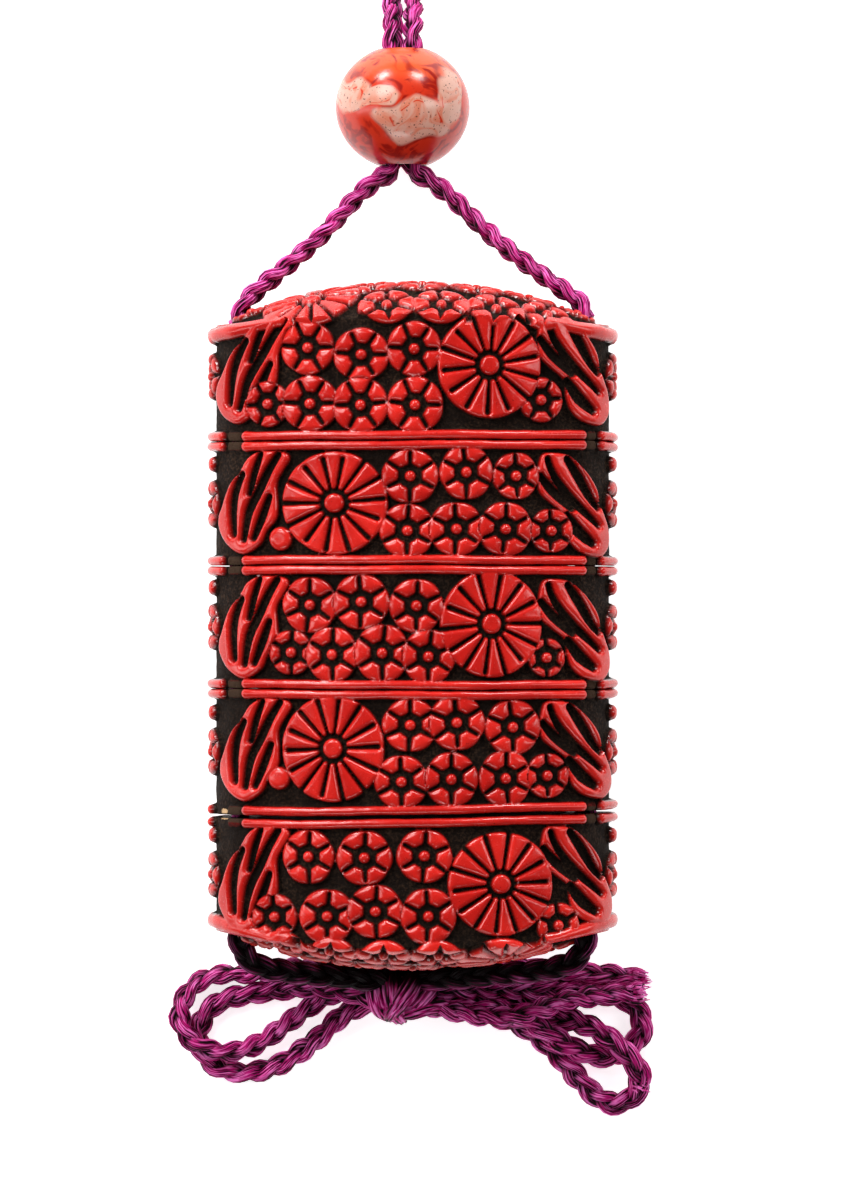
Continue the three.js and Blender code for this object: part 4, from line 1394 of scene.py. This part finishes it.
def makeBead(material):
    look = beadLook
    bm = bmesh.new()
    start = atan2(sqrt(1 - (look["hole"] / look["radius"]) ** 2), look["hole"] / look["radius"])
    profile = []
    for i in range(look["steps"] + 1):
        angle = -start + 2 * start * i / look["steps"]
        profile.append(bm.verts.new((look["radius"] * cos(angle), look["half"] * sin(angle), 0)))
    for pair in zip(profile, profile[1:] + profile[:1]):
        bm.edges.new(pair)
    bmesh.ops.bevel(bm, geom=[profile[0], profile[-1]], offset=look["holeLip"], segments=4, profile=0.5,
                    affect="VERTICES", material=-1)
    bmesh.ops.spin(bm, geom=bm.verts[:] + bm.edges[:], cent=(0, 0, 0), axis=(0, 1, 0), angle=2 * pi,
                   steps=look["turns"], use_merge=True)
    bmesh.ops.remove_doubles(bm, verts=bm.verts, dist=0.0005)
    bmesh.ops.translate(bm, verts=bm.verts, vec=look["centre"])
    mesh = meshFrom(bm, "ojimeBead")
    mesh.shade_smooth()
    mesh.transform(Matrix.Scale(mm, 4))
    addPiece("ojimeBead", mesh, material, ["ojime_bead"])


knotLook = {
    "threads": 13,
    "ends": 0.75,  # thickness of a strand at its ends, as a share
    "uneven": (0.05, 1.3),  # how much a strand's thickness strays, and how often along it
    "middleBelow": 0.55,  # its painted gap shade deepens towards a line so far under its middle
    # painted shade over the whole knot, as a share of its distances
    "dark": 0.72,
    "bundles": [  # each a broad strand of silk, with its thickness
        ([(-4.4, -46.6, 3.9), (-1.0, -46.9, 4.6), (2.6, -46.7, 3.9)], 2.3),
        ([(-4.3, -43.4, 3.6), (-4.7, -44.9, 6.2), (-4.7, -46.8, 7.2), (-4.1, -48.7, 6.4),
          (-3.1, -49.8, 4.2), (-2.8, -49.3, 2.4)], 1.3),
        ([(2.4, -44.6, 4.0), (2.3, -46.0, 6.6), (1.3, -47.4, 7.8), (0.2, -48.6, 7.0),
          (-0.6, -49.6, 5.0)], 1.15),
        ([(-2.2, -43.2, 4.2), (-2.6, -44.6, 7.0), (-2.6, -46.8, 8.2), (-2.3, -48.8, 7.2),
          (-1.6, -50.0, 4.8), (-1.5, -49.4, 2.4)], 1.35),
        ([(0.6, -43.4, 4.2), (0.4, -44.6, 7.2), (-0.4, -46.2, 8.7), (-1.6, -47.9, 8.7),
          (-2.6, -49.3, 7.2), (-3.0, -50.0, 5.0)], 1.25),
        ([(-1.4, -49.6, 4.6), (-0.2, -49.3, 6.8), (1.8, -48.8, 6.9), (3.8, -48.8, 5.2),
          (5.4, -49.2, 3.6)], 1.15),
    ],
}


def fatStrand(points, thick, turn):
    # a broad strand of many silk threads, thinner at its ends
    look = knotLook
    path, along = smoothPath(points, cordLook["step"])
    amount, rate = look["uneven"]
    radius = thick * (look["ends"] + (1 - look["ends"]) * np.sin(pi * (along / along[-1])))
    radius = radius * (1 + amount * np.sin(along * rate + turn))
    middle = path - np.array([0, 0, look["middleBelow"]])
    corners, outward, faces, uvs = tube(path, radius, 3 * look["threads"], along + turn, middle,
                                        look["threads"])
    # painted shade: the whole knot darker, and darker still under the base
    return corners, paintedShadeUnderBase(corners, outward * look["dark"]), faces, uvs


def makeKnot(material):
    tubes = [fatStrand(points, thick, 11 * i) for i, (points, thick) in enumerate(knotLook["bundles"])]
    addPiece("bowKnot", tubesMesh("bowKnot", tubes), material, ["bow_knot"])


frayLook = {
    "root": 1,  # how far from the tip of the cord a hair may start, and how far back inside it
    "inside": 1.1,
    "stray": 0.3,  # how far a hair leans from the cord's direction, and how much it bends
    "lengths": (0.35, 1),  # share of the tuft's reach
    "along": (0, 0.35, 0.7, 1),
    "thickness": (0.12, 0.11, 0.09, 0.05),  # of a hair at those places, from its root to its tip
    "lowest": 0.08,
}


def makeFray(name, tip, direction, material, seed, hairs=110, reach=1.4):
    # a soft tuft of silk at a cut or worn place of the cord
    look = frayLook
    draw = random.Random(seed)

    def anyWay(most):
        return Vector([draw.uniform(-most, most) for _ in range(3)])

    tubes = []
    ahead = Vector(direction).normalized()
    for _ in range(hairs):
        start = Vector(tip) + anyWay(look["root"]) - ahead * look["inside"]
        spread = ahead + anyWay(look["stray"])
        curl = anyWay(look["stray"])
        long = draw.uniform(*look["lengths"]) * reach
        line = [start + (spread + curl * t) * long * t for t in look["along"]]
        line = np.array([(p.x, p.y, max(look["lowest"], p.z)) for p in line])
        lengths = np.linspace(0, long, len(line)) + draw.uniform(0, 50)
        tubes.append(tube(line, np.array(look["thickness"]), 5, lengths))
    addPiece(name, tubesMesh(name, tubes), material)


cords = [
    {
        "name": "upperCord",
        "thick": 1.06,
        "roll": 1.2,  # it shows the narrow side of its plait
        "parts": ["leftRise", "netsukeLoop", "-rightRise"],
        "replaces": ["cord_left_rise", "cord_netsuke_loop", "cord_right_rise"],
        "farEnd": "object",
        "with": ["ojimeBead"],
    },
    {
        "name": "leftCord",
        "thick": 1.1,
        "parts": ["leftLead", "leftLeadTurn", "leftUpperLoop", "leftCrossing", "rightRearLoop",
                  "rearTurn", "rightUpperEnd"],
        "replaces": ["cord_left_lead", "cord_left_upper_loop", "cord_right_rear_loop",
                     "cord_right_upper_end"],
        "farEnd": "bare",
        "with": ["bowKnot", "upperFray"],
    },
    {
        "name": "rightCord",
        "thick": 1.1,
        "parts": ["rightLead", "rightLeadTurn", "leftLowerLoop", "rightCrossing", "rightFrontLoop",
                  "frontTurn", "rightLowerEnd"],
        "replaces": ["cord_right_lead", "cord_left_lower_loop", "cord_right_front_loop",
                     "cord_right_lower_end"],
        "farEnd": "bare",
        "with": ["lowerFray", "wornTurn"],
    },
]


def makeCord(cord, seed, material):
    points = joinRoutes(*cord["parts"])
    path, along = smoothPath(points, cordLook["step"])
    reach, length = cordLook["rollWander"]
    roll = cord["roll"] + reach * np.sin(along / length) if "roll" in cord else None
    tubes = plaitTubes(path, along, seed, cord["thick"], roll)
    if cord["farEnd"] == "bare":
        # painted shade: the leads dark near the case, and the silk under the base darker
        start, end, dark = cordLook["paintedLeadShade"]
        unshaded = np.clip((along - start) / (end - start), 0, 1)
        unshaded = np.repeat(dark + (1 - dark) * unshaded, cordLook["sides"])
        tubes = [(corners, paintedShadeUnderBase(corners, outward * unshaded), faces, uvs)
                 for corners, outward, faces, uvs in tubes]
    mesh = tubesMesh(cord["name"], tubes)
    piece = addPiece(cord["name"], mesh, material, cord["replaces"])
    print("made", cord["name"], round(float(along[-1])), "mm long")


def makeChannelCords(material):
    for side, name in ((-1, "left"), (1, "right")):
        points = [(side * case["boreX"], y, case["axisHeight"]) for y in cordLook["channel"]]
        path, along = smoothPath(points, cordLook["step"] * 2)
        mesh = tubesMesh(name + "ChannelCord", plaitTubes(path, along, 70 + side))
        addPiece(name + "ChannelCord", mesh, material, ["cord_" + name + "_channel"])


makeCamera()
makeLamps()
silk = silkMaterial()
makeBead(beadMaterial())
makeKnot(silk)
wornSilk = wornSilkMaterial()
makeFray("upperFray", routes["rightUpperEnd"][-1], (1, -0.15, 0.05), wornSilk, 11)
makeFray("lowerFray", routes["rightLowerEnd"][-1], (1, 0.05, -0.25), wornSilk, 12)
makeFray("wornTurn", (30.0, -59.4, 2.0), (0.8, -0.3, 0.2), wornSilk, 13, 70, 0.7)
for number, cord in enumerate(cords):
    makeCord(cord, 20 + number, silk)
makeChannelCords(silk)
print("made the cord, knot and bead")

polishedLacquer = lacquerMaterial("polishedRedLacquer", True)
dullLacquer = lacquerMaterial("dullLacquerGround", False)
for index in range(len(tiers)):
    makeTier(index, polishedLacquer, dullLacquer)

floorMesh = bpy.data.meshes.new("floor")
bm = bmesh.new()
bmesh.ops.create_grid(bm, x_segments=1, y_segments=1, size=studio["floorSize"] / 2 * mm)
bm.to_mesh(floorMesh)
bm.free()
floorMesh.materials.append(floorMaterial())
floor = bpy.data.objects.new("floor", floorMesh)
bpy.context.scene.collection.objects.link(floor)
